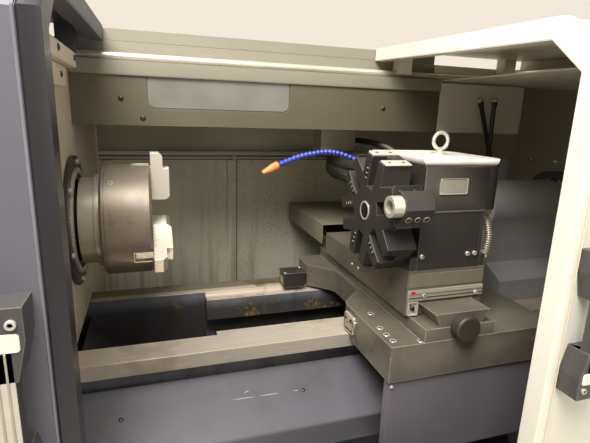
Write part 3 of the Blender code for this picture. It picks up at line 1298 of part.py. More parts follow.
def tailstock():
    """The tailstock on the inner ways, its quill with the centre, the handwheel, and two clamp levers."""
    left = TAILSTOCK_LEFT
    right = TAILSTOCK_LEFT + TAILSTOCK_LENGTH
    low_z = BED_TOP - INNER_WAY_DROP + SEAT
    front = BED_FRONT + WAY_WIDTH + TAIL_SIDE_GAP
    back = BED_BACK - WAY_WIDTH - TAIL_SIDE_GAP
    neck = TAIL_NECK / 2
    top = low_z + TAIL_FOOT_HEIGHT
    outline = [
        (front, low_z),
        (back, low_z),
        (back, top),
        (SPINDLE_Y + neck, top + TAIL_FOOT_HEIGHT / 2),
        (SPINDLE_Y + neck, SPINDLE_HEIGHT),
        (SPINDLE_Y - neck, SPINDLE_HEIGHT),
        (SPINDLE_Y - neck, top + TAIL_FOOT_HEIGHT / 2),
        (front, top),
    ]
    barrel = cylinder("X", left, right, SPINDLE_AXIS, BARREL_DIAMETER)
    lug_low = (left + QUILL_INSET, LUG_Y, SPINDLE_HEIGHT + BARREL_DIAMETER / 4)
    lug_high = (left + TAILSTOCK_LENGTH / 2, LUG_Y + LUG_THICKNESS, LUG_TOP)
    bore = cylinder("X", left - OVERRUN, right - QUILL_INSET, SPINDLE_AXIS, QUILL_DIAMETER + 2 * BORE_FIT)
    origin = (left, SPINDLE_Y, SPINDLE_HEIGHT)
    body = prism("X", left + RUN, right - RUN, outline)
    part("tailstock_body", CASTING_SLATE, barrel, joined=[body, box(lug_low, lug_high)], cut=[bore], origin=origin)
    profile = [
        (QUILL_START - QUILL_CONE, 0),
        (QUILL_START - QUILL_CONE, RUN),
        (QUILL_START - QUILL_POINT, QUILL_POINT * 1.5),
        (QUILL_START, QUILL_POINT * 1.5),
        (QUILL_START, QUILL_DIAMETER / 2 - RUN),
        (QUILL_START + RUN, QUILL_DIAMETER / 2),
        (right - 2 * QUILL_INSET, QUILL_DIAMETER / 2),
        (right - 2 * QUILL_INSET, 0),
    ]
    part("tailstock_quill", BRIGHT_STEEL, turned("X", SPINDLE_AXIS, profile), origin=origin)
    wheel_start = right + SEAT + WHEEL_RIM / 2
    wheel = ring(
        "X",
        wheel_start,
        wheel_start + WHEEL_RIM,
        SPINDLE_AXIS,
        WHEEL_DIAMETER,
        WHEEL_DIAMETER - 2 * WHEEL_RIM,
    )
    extras = [cylinder("X", right + SEAT, wheel_start + WHEEL_RIM, SPINDLE_AXIS, WHEEL_HUB)]
    centre = (right, *SPINDLE_AXIS)
    for k in range(JAW_COUNT):
        low = (wheel_start + RUN, SPINDLE_Y - WHEEL_SPOKE / 2, SPINDLE_HEIGHT + WHEEL_HUB / 4)
        high_z = SPINDLE_HEIGHT + WHEEL_DIAMETER / 2 - WHEEL_RIM / 2
        spoke = box(low, (wheel_start + WHEEL_RIM - RUN, SPINDLE_Y + WHEEL_SPOKE / 2, high_z))
        extras.append(moved(spoke, turn_about(centre, "X", 2 * math.pi * k / JAW_COUNT)))
    grip_centre = (SPINDLE_Y, SPINDLE_HEIGHT + WHEEL_DIAMETER / 2 - WHEEL_RIM / 2)
    grip_end = wheel_start + WHEEL_RIM + WHEEL_GRIP_LENGTH
    extras.append(cylinder("X", wheel_start + RUN * 2, grip_end, grip_centre, WHEEL_GRIP - RUN, 16))
    part("handwheel", CAST_GREY, wheel, joined=extras, origin=(wheel_start, *SPINDLE_AXIS))
    starts = (LUG_Y + LUG_THICKNESS + SEAT, LUG_Y - SEAT - LEVER_WIDTH)
    for k, (foot_step, tip_step, start) in enumerate(zip(LEVER_BASE_STEPS, LEVER_TIP_STEPS, starts)):
        base = (left + foot_step[0], SPINDLE_HEIGHT + foot_step[1])
        tip = (left + tip_step[0], SPINDLE_HEIGHT + tip_step[1])
        middle = start + LEVER_WIDTH / 2
        hub = cylinder("Y", start, start + LEVER_WIDTH, base, LEVER_HUB, 24)
        foot = Vector((base[0], middle, base[1]))
        end = Vector((tip[0], middle, tip[1]))
        run = (end - foot).normalized()
        bar = tube([foot, end - run * LEVER_TIP_LENGTH], LEVER_BAR)
        knob = tube([end - run * (LEVER_TIP_LENGTH + RUN), end], LEVER_BAR * 1.25)
        part(f"clamp_lever_{k + 1}", BLACK_STEEL, hub, joined=[bar, knob], origin=(base[0], middle, base[1]))


AXIS_SERVO_LENGTH = 0.160


def bed_screw():
    """The long screw in front of the bed, and its motor at the right end."""
    start = LEFT_BRACKET + RUN
    screw = cylinder("X", start, BED_RIGHT - RUN, (SCREW_Y, SCREW_Z), SCREW_DIAMETER, 24)
    part("bed_screw", BRIGHT_STEEL, screw, origin=(start, SCREW_Y, SCREW_Z))
    half = SERVO_SIZE / 2
    outline = rectangle((SCREW_Y - half, SCREW_Z - half), (SCREW_Y + half, SCREW_Z + half))
    outline = corner_points(outline, SADDLE_CORNER)
    start = BED_RIGHT + SEAT
    tail = cylinder(
        "X",
        start + AXIS_SERVO_LENGTH - OVERRUN,
        start + AXIS_SERVO_LENGTH + CAP_LENGTH,
        (SCREW_Y, SCREW_Z),
        CAP_DIAMETER,
    )
    part("bed_servo", BLACK_PLASTIC, prism("X", start, start + AXIS_SERVO_LENGTH, outline), joined=[tail])


DOOR_BEND_DEPTH = 0.082
DOOR_BEND_FALL = 0.024
DOOR_BEND_DROP = 0.093
DOOR_ROOF_BACK = 0.006
ROLLER_LENGTH = 0.040
ROLLER_BACK = 0.0055
ROLLER_INSET = 0.075
NOTCH_STEPS = 8
WINDOW_WIDTH = 0.300
WINDOW_HEIGHT = 0.380
WINDOW_RISE = 0.040
WINDOW_CORNER = 0.040
WINDOW_LAP = 0.014
PANE = 0.006
LEFT_HANDLE_INSET = 0.061
RIGHT_HANDLE_INSET = 0.053
HANDLE_RISE = 0.155
HANDLE_LENGTH = 0.245
HANDLE_DEPTH = 0.040
GRIP_END_HEIGHT = 0.080
GRIP_END_WIDTH = 0.056
GRIP_NECK = 0.036
BAR_WIDTH = 0.030
BAR_THICKNESS = 0.019

DOOR_FRONT = FRONT - DOOR_CLEARANCE - DOOR_EDGE
WINDOW_CENTRE = SPINDLE_HEIGHT + WINDOW_RISE
HANDLE_BOTTOM = DOOR_BOTTOM + HANDLE_RISE


def sliding_door(side, left, finish, handle_x):
    """One sliding door: a folded sheet with an edge channel at both ends, roller blocks, a window and a bar handle."""
    right = left + DOOR_WIDTH
    line = [
        (DOOR_ROOF_BACK, DOOR_TOP),
        (DOOR_FRONT + DOOR_BEND_DEPTH, DOOR_TOP - DOOR_BEND_FALL),
        (DOOR_FRONT, DOOR_TOP - DOOR_BEND_DROP),
        (DOOR_FRONT, DOOR_BOTTOM),
    ]
    roof = (Vector(line[0]) - Vector(line[1])).normalized()
    reach = [Vector(line[0]) + roof * OVERRUN] + line[1:3] + [(DOOR_FRONT, DOOR_BOTTOM + SHEET)]
    body = prism("X", left, right, folded(line, DOOR_EDGE))
    cuts = [
        prism("X", left + SHEET, right - SHEET, folded(reach, DOOR_EDGE - SHEET, SHEET)),
        prism("X", left + DOOR_POST, right - DOOR_POST, folded(reach, DOOR_EDGE + OVERRUN, 2 * SHEET)),
    ]
    block_top = DOOR_TOP - SHEET / 2 - SEAT
    notch = RAIL_DIAMETER / 2 + SEAT
    arc = [math.pi * (1 - k / NOTCH_STEPS) for k in range(NOTCH_STEPS + 1)]
    block = [(RAIL_Y - RAIL_STEP, RAIL_Z)]
    block += [(RAIL_Y + notch * math.cos(angle), RAIL_Z + notch * math.sin(angle)) for angle in arc]
    block += [(ROLLER_BACK, RAIL_Z), (ROLLER_BACK, block_top), (RAIL_Y - RAIL_STEP, block_top)]
    blocks = []
    for middle in (left + ROLLER_INSET, right - ROLLER_INSET):
        blocks.append(prism("X", middle - ROLLER_LENGTH / 2, middle + ROLLER_LENGTH / 2, block))
    centre = (left + right) / 2
    half_width, half_height = WINDOW_WIDTH / 2, WINDOW_HEIGHT / 2
    hole = rectangle(
        (centre - half_width, WINDOW_CENTRE - half_height),
        (centre + half_width, WINDOW_CENTRE + half_height),
    )
    hole = corner_points(hole, WINDOW_CORNER)
    cuts.append(prism("Y", DOOR_FRONT - OVERRUN, DOOR_FRONT + OVERRUN, hole))
    origin = (left, DOOR_FRONT, DOOR_BOTTOM)
    part(f"{side}_door", finish, body, cut=cuts, added=blocks, origin=origin)
    lap = WINDOW_LAP
    pane = rectangle(
        (centre - half_width - lap, WINDOW_CENTRE - half_height - lap),
        (centre + half_width + lap, WINDOW_CENTRE + half_height + lap),
    )
    pane = corner_points(pane, WINDOW_CORNER)
    start = DOOR_FRONT + SHEET + SEAT
    part(f"{side}_window", WINDOW_TINT, prism("Y", start, start + PANE, pane), origin=origin)
    start = DOOR_FRONT - SEAT
    top = HANDLE_BOTTOM + HANDLE_LENGTH
    bar_low = (handle_x - BAR_WIDTH / 2, start - HANDLE_DEPTH + RUN / 2, HANDLE_BOTTOM + GRIP_END_HEIGHT / 2)
    bar_high = (handle_x + BAR_WIDTH / 2, bar_low[1] + BAR_THICKNESS, top - GRIP_END_HEIGHT / 2)
    brackets = []
    for end, way in ((HANDLE_BOTTOM, 1), (top, -1)):
        neck = end + way * GRIP_END_HEIGHT
        outline = [
            (handle_x - GRIP_END_WIDTH / 2, end),
            (handle_x + GRIP_END_WIDTH / 2, end),
            (handle_x + GRIP_END_WIDTH / 2, end + way * GRIP_NECK),
            (handle_x + GRIP_NECK / 2, neck),
            (handle_x - GRIP_NECK / 2, neck),
            (handle_x - GRIP_END_WIDTH / 2, end + way * GRIP_NECK),
        ]
        brackets.append(prism("Y", start - HANDLE_DEPTH, start, outline[::way]))
    part(f"{side}_handle", BLACK_PLASTIC, box(bar_low, bar_high), joined=brackets, origin=origin)


CABINET_LEFT = -0.450
CABINET_RIGHT = 0.550
CABINET_BOTTOM = 0.300
CABINET_TOP = 1.450
CABINET_BACK = 0.720
CABINET_DOOR = 0.015
DRIVE_COUNT = 3
DRIVE_SIZE = (0.160, 0.140, 0.360)
DRIVE_PITCH = 0.260
KNOB_DIAMETER = 0.060
KNOB_HEIGHT = 0.0145
KNOB_INSET = 0.130
KNOB_DROP = 0.300

KNOB_PLACE = (CABINET_RIGHT - KNOB_INSET, CABINET_TOP - KNOB_DROP)


def cabinet():
    """The electrical cabinet on the back: shell with the drives in it, hinged door, and the isolator's knob."""
    front = ENCLOSURE_BACK + SEAT
    back_panel = box((CABINET_LEFT, front, CABINET_BOTTOM), (CABINET_RIGHT, front + SHEET, CABINET_TOP))
    walls = [
        box((CABINET_LEFT, front, CABINET_BOTTOM), (CABINET_LEFT + SHEET, CABINET_BACK, CABINET_TOP)),
        box((CABINET_RIGHT - SHEET, front, CABINET_BOTTOM), (CABINET_RIGHT, CABINET_BACK, CABINET_TOP)),
        box((CABINET_LEFT, front, CABINET_BOTTOM), (CABINET_RIGHT, CABINET_BACK, CABINET_BOTTOM + SHEET)),
        box((CABINET_LEFT, front, CABINET_TOP - SHEET), (CABINET_RIGHT, CABINET_BACK, CABINET_TOP)),
    ]
    middle = (CABINET_LEFT + CABINET_RIGHT) / 2
    drive_z = (CABINET_BOTTOM + CABINET_TOP) / 2
    drives = []
    for k in range(DRIVE_COUNT):
        x = middle + (k - (DRIVE_COUNT - 1) / 2) * DRIVE_PITCH
        low = (x - DRIVE_SIZE[0] / 2, front + SHEET / 2, drive_z - DRIVE_SIZE[2] / 2)
        drives.append(box(low, (x + DRIVE_SIZE[0] / 2, front + DRIVE_SIZE[1], drive_z + DRIVE_SIZE[2] / 2)))
    part("electrical_cabinet", CREAM, back_panel, joined=walls + drives)
    door_low = (CABINET_LEFT, CABINET_BACK + SEAT, CABINET_BOTTOM)
    door_high = (CABINET_RIGHT, CABINET_BACK + CABINET_DOOR, CABINET_TOP)
    part("cabinet_door", CREAM, box(door_low, door_high), origin=door_low)
    knob_start = CABINET_BACK + CABINET_DOOR + SEAT
    knob = cylinder("Y", knob_start, knob_start + KNOB_HEIGHT / 2, KNOB_PLACE, KNOB_DIAMETER)
    x, z = KNOB_PLACE
    grip_low = (x - KNOB_DIAMETER / 8, knob_start, z - KNOB_DIAMETER / 2 + RUN)
    grip = box(grip_low, (x + KNOB_DIAMETER / 8, knob_start + KNOB_HEIGHT, z + KNOB_DIAMETER / 2 - RUN))
    part("isolator_knob", SIGNAL_RED, knob, joined=[grip], origin=(x, knob_start, z))


PANEL_WIDTH = 0.280
PANEL_INSET = 0.025
PANEL_HEIGHT = 0.420
PANEL_DROP = 0.115
PANEL_DEPTH = 0.075
PANEL_CORNER = 0.012
SCREEN_WIDTH = 0.200
SCREEN_HEIGHT = 0.150
SCREEN_DROP = 0.110
SCREEN_SUNK = 0.003
KEY_ROWS = 4
KEY_COLUMNS = 6
KEY_SIZE = 0.018
KEY_PITCH = 0.027
KEY_RISE = 0.003
KEY_INSET = 0.075
KEY_FOOT = 0.115
STOP_DIAMETER = 0.040
STOP_STEM = 0.024
STOP_BASE = 0.0277
STOP_TRAVEL = 0.005
STOP_INSET = 0.045
STOP_FOOT = 0.055
STOP_SEAT = 0.002

PANEL_RIGHT = RIGHT_END - PANEL_INSET
PANEL_LEFT = PANEL_RIGHT - PANEL_WIDTH
PANEL_TOP = ENCLOSURE_LIP - PANEL_DROP
PANEL_BOTTOM = PANEL_TOP - PANEL_HEIGHT
SCREEN_CENTRE = ((PANEL_LEFT + PANEL_RIGHT) / 2, PANEL_TOP - SCREEN_DROP)
KEY_CORNER = (PANEL_LEFT + KEY_INSET, PANEL_BOTTOM + KEY_FOOT)
STOP_PLACE = (PANEL_RIGHT - STOP_INSET, PANEL_BOTTOM + STOP_FOOT)


def control_panel():
    """The control panel on the right cover: body with keys, sunken screen, and the stop button."""
    back = FRONT - SEAT
    face = back - PANEL_DEPTH
    outline = corner_points(rectangle((PANEL_LEFT, PANEL_BOTTOM), (PANEL_RIGHT, PANEL_TOP)), PANEL_CORNER)
    x, z = SCREEN_CENTRE
    screen = rectangle(
        (x - SCREEN_WIDTH / 2, z - SCREEN_HEIGHT / 2),
        (x + SCREEN_WIDTH / 2, z + SCREEN_HEIGHT / 2),
    )
    sunk = prism("Y", face - OVERRUN, face + SCREEN_SUNK, screen)
    keys = []
    for row in range(KEY_ROWS):
        for column in range(KEY_COLUMNS):
            key_x = KEY_CORNER[0] + (column - 1) * KEY_PITCH
            key_z = KEY_CORNER[1] + row * KEY_PITCH
            low = (key_x, face - KEY_RISE, key_z)
            keys.append(box(low, (key_x + KEY_SIZE, face + KEY_RISE, key_z + KEY_SIZE)))
    stem_hole = cylinder("Y", face - OVERRUN, face + STOP_BASE + STOP_TRAVEL, STOP_PLACE, STOP_STEM + 2 * BORE_FIT)
    body = prism("Y", face, back, outline)
    part("control_panel", DOOR_SLATE, body, joined=keys, cut=[sunk, stem_hole])
    head = face - STOP_TRAVEL - STOP_SEAT
    profile = [
        (head - STOP_BASE, 0),
        (head - STOP_BASE, STOP_DIAMETER / 2 - RUN),
        (head - STOP_BASE + RUN, STOP_DIAMETER / 2),
        (head, STOP_DIAMETER / 2),
        (head, STOP_STEM / 2),
        (face + STOP_BASE - RUN, STOP_STEM / 2),
        (face + STOP_BASE - RUN, 0),
    ]
    stop_origin = (STOP_PLACE[0], head, STOP_PLACE[1])
    part("emergency_stop", SIGNAL_RED, turned("Y", STOP_PLACE, profile, 24), origin=stop_origin)


TANK_LEFT = -0.440
TANK_RIGHT = 0.580
TANK_FRONT = 0.450
TANK_BACK = 0.300
TANK_HEIGHT = 0.380
PUMP_DIAMETER = 0.120
PUMP_INSET = 0.110
PUMP_RISE = 0.120
PUMP_FLANGE = 0.180
PUMP_PLATE = 0.006


def coolant_tank():
    """The coolant tank under the bed, open on top, with the pump on a shelf in its corner."""
    low = (TANK_LEFT, -TANK_FRONT, 0)
    high = (TANK_RIGHT, TANK_BACK, TANK_HEIGHT)
    floor = box(low, (TANK_RIGHT, TANK_BACK, SHEET))
    walls = [
        box(low, (TANK_LEFT + SHEET, TANK_BACK, TANK_HEIGHT)),
        box((TANK_RIGHT - SHEET, -TANK_FRONT, 0), high),
        box(low, (TANK_RIGHT, -TANK_FRONT + SHEET, TANK_HEIGHT)),
        box((TANK_LEFT, TANK_BACK - SHEET, 0), high),
    ]
    x, y = TANK_RIGHT - PUMP_INSET, TANK_BACK - PUMP_INSET
    plate_low = (x - PUMP_FLANGE, y - PUMP_FLANGE / 2, TANK_HEIGHT - PUMP_PLATE / 2)
    plate = box(plate_low, (TANK_RIGHT, TANK_BACK, TANK_HEIGHT + PUMP_PLATE / 2))
    profile = [
        (TANK_HEIGHT - PUMP_FLANGE, 0),
        (TANK_HEIGHT - PUMP_FLANGE, PUMP_DIAMETER / 3),
        (TANK_HEIGHT + PUMP_PLATE / 2, PUMP_DIAMETER / 3),
        (TANK_HEIGHT + PUMP_PLATE / 2, PUMP_DIAMETER / 2),
        (TANK_HEIGHT + PUMP_RISE, PUMP_DIAMETER / 2),
        (TANK_HEIGHT + PUMP_RISE + PUMP_PLATE, PUMP_DIAMETER / 3),
        (TANK_HEIGHT + PUMP_RISE + PUMP_PLATE, 0),
    ]
    pump = turned("Z", (x, y), profile)
    part("coolant_tank", SLATE, floor, joined=walls + [plate, pump])


clear_scene()

SLATE = material("slate_paint", (0.12, 0.12, 0.125), 0.5)
SLATE_DARK = material("dark_slate_paint", (0.07, 0.072, 0.075), 0.5)
CASTING_SLATE = material("slate_casting_paint", (0.10, 0.105, 0.11), 0.6)
DOOR_SLATE = material("grey_door_paint", (0.20, 0.185, 0.21), 0.4)
CREAM = material("cream_paint", (0.76, 0.70, 0.58), 0.4)
CREAM_OLIVE = material("stained_cream_paint", (0.50, 0.46, 0.33), 0.45)
DARK_STEEL = material("dark_steel", (0.12, 0.115, 0.11), 0.45, 1.0)
BRIGHT_STEEL = material("bright_steel", (0.75, 0.74, 0.70), 0.25, 1.0)
BLACK_STEEL = material("blackened_steel", (0.03, 0.03, 0.032), 0.4, 1.0)
PALE_STEEL = material("pale_steel", (0.62, 0.60, 0.56), 0.35, 1.0)
BRUSHED_STEEL = material("brushed_steel", (0.55, 0.52, 0.46), 0.35, 1.0)
JAW_STEEL = material("jaw_steel", (0.70, 0.66, 0.58), 0.4, 1.0)
GROUND_IRON = material("ground_iron", (0.30, 0.28, 0.25), 0.4, 1.0)
CAST_GREY = material("cast_grey", (0.25, 0.25, 0.26), 0.6)
MOTOR_GREY = material("motor_grey", (0.28, 0.30, 0.32), 0.5)
TURRET_BLACK = material("turret_black", (0.03, 0.028, 0.027), 0.35)
RUBBER = material("rubber", (0.015, 0.015, 0.015), 0.8)
BLACK_PLASTIC = material("black_plastic", (0.02, 0.018, 0.016), 0.45)
HOSE_BLUE = material("hose_blue", (0.04, 0.045, 0.25), 0.4)
NOZZLE_ORANGE = material("nozzle_orange", (0.75, 0.25, 0.07), 0.45)
LAMP_GLASS = material("lamp_glass", (0.85, 0.88, 0.86), 0.15)
WINDOW_TINT = material("window_tint", (0.20, 0.24, 0.24), 0.08)
SIGNAL_RED = material("signal_red", (0.65, 0.03, 0.02), 0.35)

pedestal("left_pedestal", LEFT_END + LEFT_PEDESTAL_MARGIN, WALL_FACE)
pedestal("right_pedestal", BED_RIGHT + RAIL_STEP - RIGHT_PEDESTAL_LENGTH, BED_RIGHT + RAIL_STEP)
bed()
front_tray()
rear_tray()
end_covers()
chuck_side_wall()
rear_wall()
upper_beam()
headstock()
spindle_parts()
main_drive()
chuck()
saddle()
cross_servo()
cross_slide()
turret_housing()
turret_disc()
turret_services()
tailstock()
bed_screw()
sliding_door("left", LEFT_DOOR_EDGE - DOOR_WIDTH, DOOR_SLATE, LEFT_DOOR_EDGE - LEFT_HANDLE_INSET)
sliding_door("right", RIGHT_DOOR_EDGE, CREAM, RIGHT_DOOR_EDGE + RIGHT_HANDLE_INSET)
cabinet()
control_panel()
coolant_tank()
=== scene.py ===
"""The finished look of a turning lathe: paint, steel, grime, screws, hoses and trim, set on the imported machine."""

import json
import math

import bmesh
import bpy
import numpy as np
from mathutils import Matrix, Vector

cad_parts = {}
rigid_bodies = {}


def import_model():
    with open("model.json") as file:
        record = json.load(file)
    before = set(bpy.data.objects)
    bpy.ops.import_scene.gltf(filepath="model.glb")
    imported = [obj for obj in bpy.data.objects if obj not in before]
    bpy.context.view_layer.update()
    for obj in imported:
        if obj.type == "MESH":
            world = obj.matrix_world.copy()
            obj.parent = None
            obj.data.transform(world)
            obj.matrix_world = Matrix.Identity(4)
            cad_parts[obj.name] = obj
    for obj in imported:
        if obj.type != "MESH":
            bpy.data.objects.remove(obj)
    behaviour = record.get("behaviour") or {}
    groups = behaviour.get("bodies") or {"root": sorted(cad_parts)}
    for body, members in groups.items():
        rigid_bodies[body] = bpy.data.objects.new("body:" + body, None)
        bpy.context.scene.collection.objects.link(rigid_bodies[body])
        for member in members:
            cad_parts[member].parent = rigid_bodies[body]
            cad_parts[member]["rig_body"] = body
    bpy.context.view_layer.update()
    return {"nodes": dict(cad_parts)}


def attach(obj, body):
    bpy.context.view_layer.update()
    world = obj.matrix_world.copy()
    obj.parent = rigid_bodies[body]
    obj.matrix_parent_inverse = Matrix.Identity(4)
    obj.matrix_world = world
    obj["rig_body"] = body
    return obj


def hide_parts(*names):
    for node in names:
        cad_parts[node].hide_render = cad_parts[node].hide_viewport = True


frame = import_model()

MM = 0.001
IMAGE_WIDTH = 590
FOCAL_PIXELS = 448.0
SENSOR_WIDTH = 36.0
ROOM_LIGHT = 0.56
FLOOR_REACH = 9.0

# The photographer stands before the open doors, near the chuck, and looks down and to the right.
EYE = (-0.325, -1.18, 1.38)
YAW = math.radians(18.2)
PITCH = math.radians(13.6)
ROLL = math.radians(1.91)

SPINDLE_Y = -0.1
SPINDLE_Z = 1.13
WAY_TOP = 0.876
INNER_WAY_TOP = 0.866
GAP_END = -0.19
BED_FRONT = -0.3
DOOR_FRONT = -0.681
DOOR_TOP = 1.5599
TURRET_Y = -0.337
TURRET_Z = 1.183

# A door seen from its side, points (y, z): up its front, over the slope and along the roof.
DOOR_LINE = [(DOOR_FRONT, 0.79), (DOOR_FRONT, 1.467), (-0.599, 1.536), (0.0055, 1.56)]


# Camera, room and light


def add_camera():
    """The camera at the photographer's eye: yaw about the vertical, then pitch, then roll about its line of sight."""
    data = bpy.data.cameras.new("camera")
    data.sensor_width = SENSOR_WIDTH
    data.lens = FOCAL_PIXELS / IMAGE_WIDTH * SENSOR_WIDTH
    data.clip_start = 0.02
    camera = bpy.data.objects.new("camera", data)
    bpy.context.scene.collection.objects.link(camera)
    turn = Matrix.Rotation(-YAW, 4, "Z") @ Matrix.Rotation(math.pi / 2 - PITCH, 4, "X")
    camera.matrix_world = Matrix.Translation(EYE) @ turn @ Matrix.Rotation(ROLL, 4, "Z")
    bpy.context.scene.camera = camera


def add_lamp(name, place, target, size, power):
    """A square soft lamp that faces the target."""
    data = bpy.data.lights.new(name, "AREA")
    data.shape = "SQUARE"
    data.size = size
    data.energy = power
    lamp = bpy.data.objects.new(name, data)
    bpy.context.scene.collection.objects.link(lamp)
    away = Vector(place) - Vector(target)
    lamp.matrix_world = Matrix.Translation(place) @ away.to_track_quat("Z", "Y").to_matrix().to_4x4()


# Materials


def srgb(red, green, blue):
    """A colour from the photograph, 0 to 255 a channel, as linear light with full opacity."""
    shares = np.array([red, green, blue], float) / 255
    low = shares / 12.92
    high = ((shares + 0.055) / 1.055) ** 2.4
    return [*np.where(shares <= 0.04045, low, high).tolist(), 1.0]


def scaled(colour, factor):
    """A given colour as linear light with each channel multiplied by the factor, up to 1."""
    return [min(1.0, channel * factor) for channel in srgb(*colour)[:3]] + [1.0]


class Wire:
    """One output of a material's nodes. Arithmetic on it adds Math nodes, so a mask reads as a formula."""

    def __init__(self, tree, socket=None):
        self.tree = tree
        self.socket = socket

    def node(self, kind, settings=None, sockets=None, output=0):
        """Adds a node: its settings, then its sockets, each a number, a colour or another wire. Gives one output."""
        made = self.tree.nodes.new("ShaderNode" + kind)
        for key, value in (settings or {}).items():
            setattr(made, key, value)
        for key, value in (sockets or {}).items():
            if isinstance(value, Wire):
                self.tree.links.new(value.socket, made.inputs[key])
            else:
                made.inputs[key].default_value = value
        return Wire(self.tree, made.outputs[output] if len(made.outputs) else None)

    def math(self, operation, *values):
        """Adds a Math node with those values on its sockets."""
        return self.node("Math", {"operation": operation}, dict(enumerate(values)))

    def __add__(self, other):
        return self.math("ADD", self, other)

    def __sub__(self, other):
        return self.math("SUBTRACT", self, other)

    def __mul__(self, other):
        return self.math("MULTIPLY", self, other)

    def __rsub__(self, other):
        return self.math("SUBTRACT", other, self)

    def step(self, start, end):
        """0 below start, 1 above end and a straight ramp between, which may also run down."""
        ramp = {"Value": self, "From Min": start, "From Max": end, "To Min": 0.0, "To Max": 1.0}
        return self.node("MapRange", {"clamp": True}, ramp)

    def mix(self, below, above):
        """The colour below where this wire is 0 and above where it is 1. A given colour that is a triple goes through
        srgb.
        """
        below, above = (srgb(*tone) if isinstance(tone, tuple) else tone for tone in (below, above))
        return self.node("Mix", {"data_type": "RGBA"}, {0: self, 6: below, 7: above}, 2)

    def noise(self, place, scale, detail=3.0, rough=0.55):
        """Cloudy noise about 0.5 over the place vector."""
        sockets = {"Vector": place, "Scale": scale, "Detail": detail, "Roughness": rough}
        return self.node("TexNoise", {}, sockets)

    def stretched(self, factors):
        """This vector with each axis multiplied by its own factor."""
        return self.node("Mapping", {}, {"Vector": self, "Scale": factors})

    def axis(self, number):
        """One coordinate of this vector: 0, 1 or 2 for X, Y or Z."""
        return self.node("SeparateXYZ", {}, {"Vector": self}, number)


def start_finish(name):
    """A new material, the wire from which its nodes grow, and the object's own coordinates."""
    material = bpy.data.materials.new(name)
    material.use_nodes = True
    material.node_tree.nodes.clear()
    start = Wire(material.node_tree)
    return material, start, start.node("TexCoord", output="Object")


def end_finish(start, colour, roughness, metallic=0.0, height=None, depth=0.5 * MM, more=None):
    """Closes a material: its varying colour and roughness, a bump of that depth, and more sockets by their names."""
    sockets = {"Base Color": colour, "Roughness": roughness, "Metallic": metallic, **(more or {})}
    if height is not None:
        sockets["Normal"] = start.node("Bump", {}, {"Strength": 1.0, "Distance": depth, "Height": height})
    shader = start.node("BsdfPrincipled", {}, sockets)
    start.node("OutputMaterial", {}, {"Surface": shader})


def end_paint(start, place, tone, roughness):
    """Closes a painted finish with the fine peel of sprayed paint."""
    end_finish(start, tone, roughness, height=start.noise(place, 420.0, 2.0), depth=0.12 * MM)


def worn_edges(start, radius):
    """1 on a sharp edge and 0 on a face: how far the rounded normal leans away from the face's own."""
    rounded_normal = start.node("Bevel", {"samples": 4}, {"Radius": radius})
    own = start.node("NewGeometry", output="Normal")
    lean = start.node("VectorMath", {"operation": "DOT_PRODUCT"}, {0: rounded_normal, 1: own}, "Value")
    return (1.0 - lean).step(0.04, 0.16)


def specks(start, place, scale, fewest, most, patches=5.0, patch_start=0.42, patch_end=0.62):
    """Fine dots that gather in patches: 1 on a dot and 0 between."""
    gathered = start.noise(place, patches).step(patch_start, patch_end)
    return start.noise(place, scale, 2.0, 0.6).step(fewest, most) * gathered


def paint(name, colour, shade, rough=0.45, cloud=2.2, dots=None, edge=None, grime=None):
    """Sprayed paint: clouds drift from colour to shade, dots and grime darken it, and its edges are chipped."""
    material, start, place = start_finish(name)
    clouds = start.noise(place, cloud, 4.0).step(0.32, 0.72)
    tone = clouds.mix(colour, shade)
    if grime:
        top, bottom, dirt = grime
        streaks = start.noise(place.stretched((9.0, 9.0, 1.3)), 3.0, 4.0).step(0.35, 0.75)
        tone = (place.axis(2).step(top, bottom) * streaks).mix(tone, dirt)
    roughness = clouds * 0.12 + (rough - 0.05)
    if dots:
        fewest, most, dirt = dots
        marks = specks(start, place, 160.0, fewest, most)
        tone = marks.mix(tone, dirt)
        roughness = roughness + marks * 0.2
    if edge:
        tone = (worn_edges(start, 1.6 * MM) * 0.75).mix(tone, edge)
    end_paint(start, place, tone, roughness)
    return material


def paint_with_lit_top(name, colour, shade, top, low, high):
    """Sprayed paint with its own tone above a height, painted light where light falls on the top, so the faces below
    it read as painted shade; and worn edges.
    """
    material, start, place = start_finish(name)
    clouds = start.noise(place, 3.0, 4.0).step(0.32, 0.72)
    # Painted light above the height, painted shade below it.
    tone = place.axis(2).step(low, high).mix(clouds.mix(colour, shade), top)
    tone = (start.noise(place, 11.0, 5.0, 0.65).step(0.52, 0.7) * 0.25).mix(tone, shade)
    tone = (worn_edges(start, 1.4 * MM) * 0.8).mix(tone, (170, 160, 140))
    end_paint(start, place, tone, clouds * 0.12 + 0.32)
    return material


def metal(name, colour, shade, rough=0.3, lines=(1.0, 60.0, 60.0), grain=40.0, metallic=0.5, edge=None, stain=None):
    """Machined steel or iron: fine lines along one axis, broad oily clouds from colour to shade, and bright edges."""
    material, start, place = start_finish(name)
    strokes = start.noise(place.stretched(lines), grain, 3.0, 0.6)
    clouds = start.noise(place, 6.0, 4.0, 0.6).step(0.34, 0.7)
    tone = clouds.mix(colour, shade)
    tone = (strokes.step(0.35, 0.8) * 0.35).mix(tone, shade)
    if stain:
        spots = start.noise(place, 24.0, 5.0, 0.7).step(0.58, 0.7) * start.noise(place, 3.5).step(0.45, 0.6)
        tone = spots.mix(tone, stain)
    if edge:
        tone = worn_edges(start, 1.4 * MM).mix(tone, edge)
    end_finish(start, tone, strokes * 0.18 + clouds * 0.14 + (rough - 0.12), metallic, strokes, 0.08 * MM)
    return material


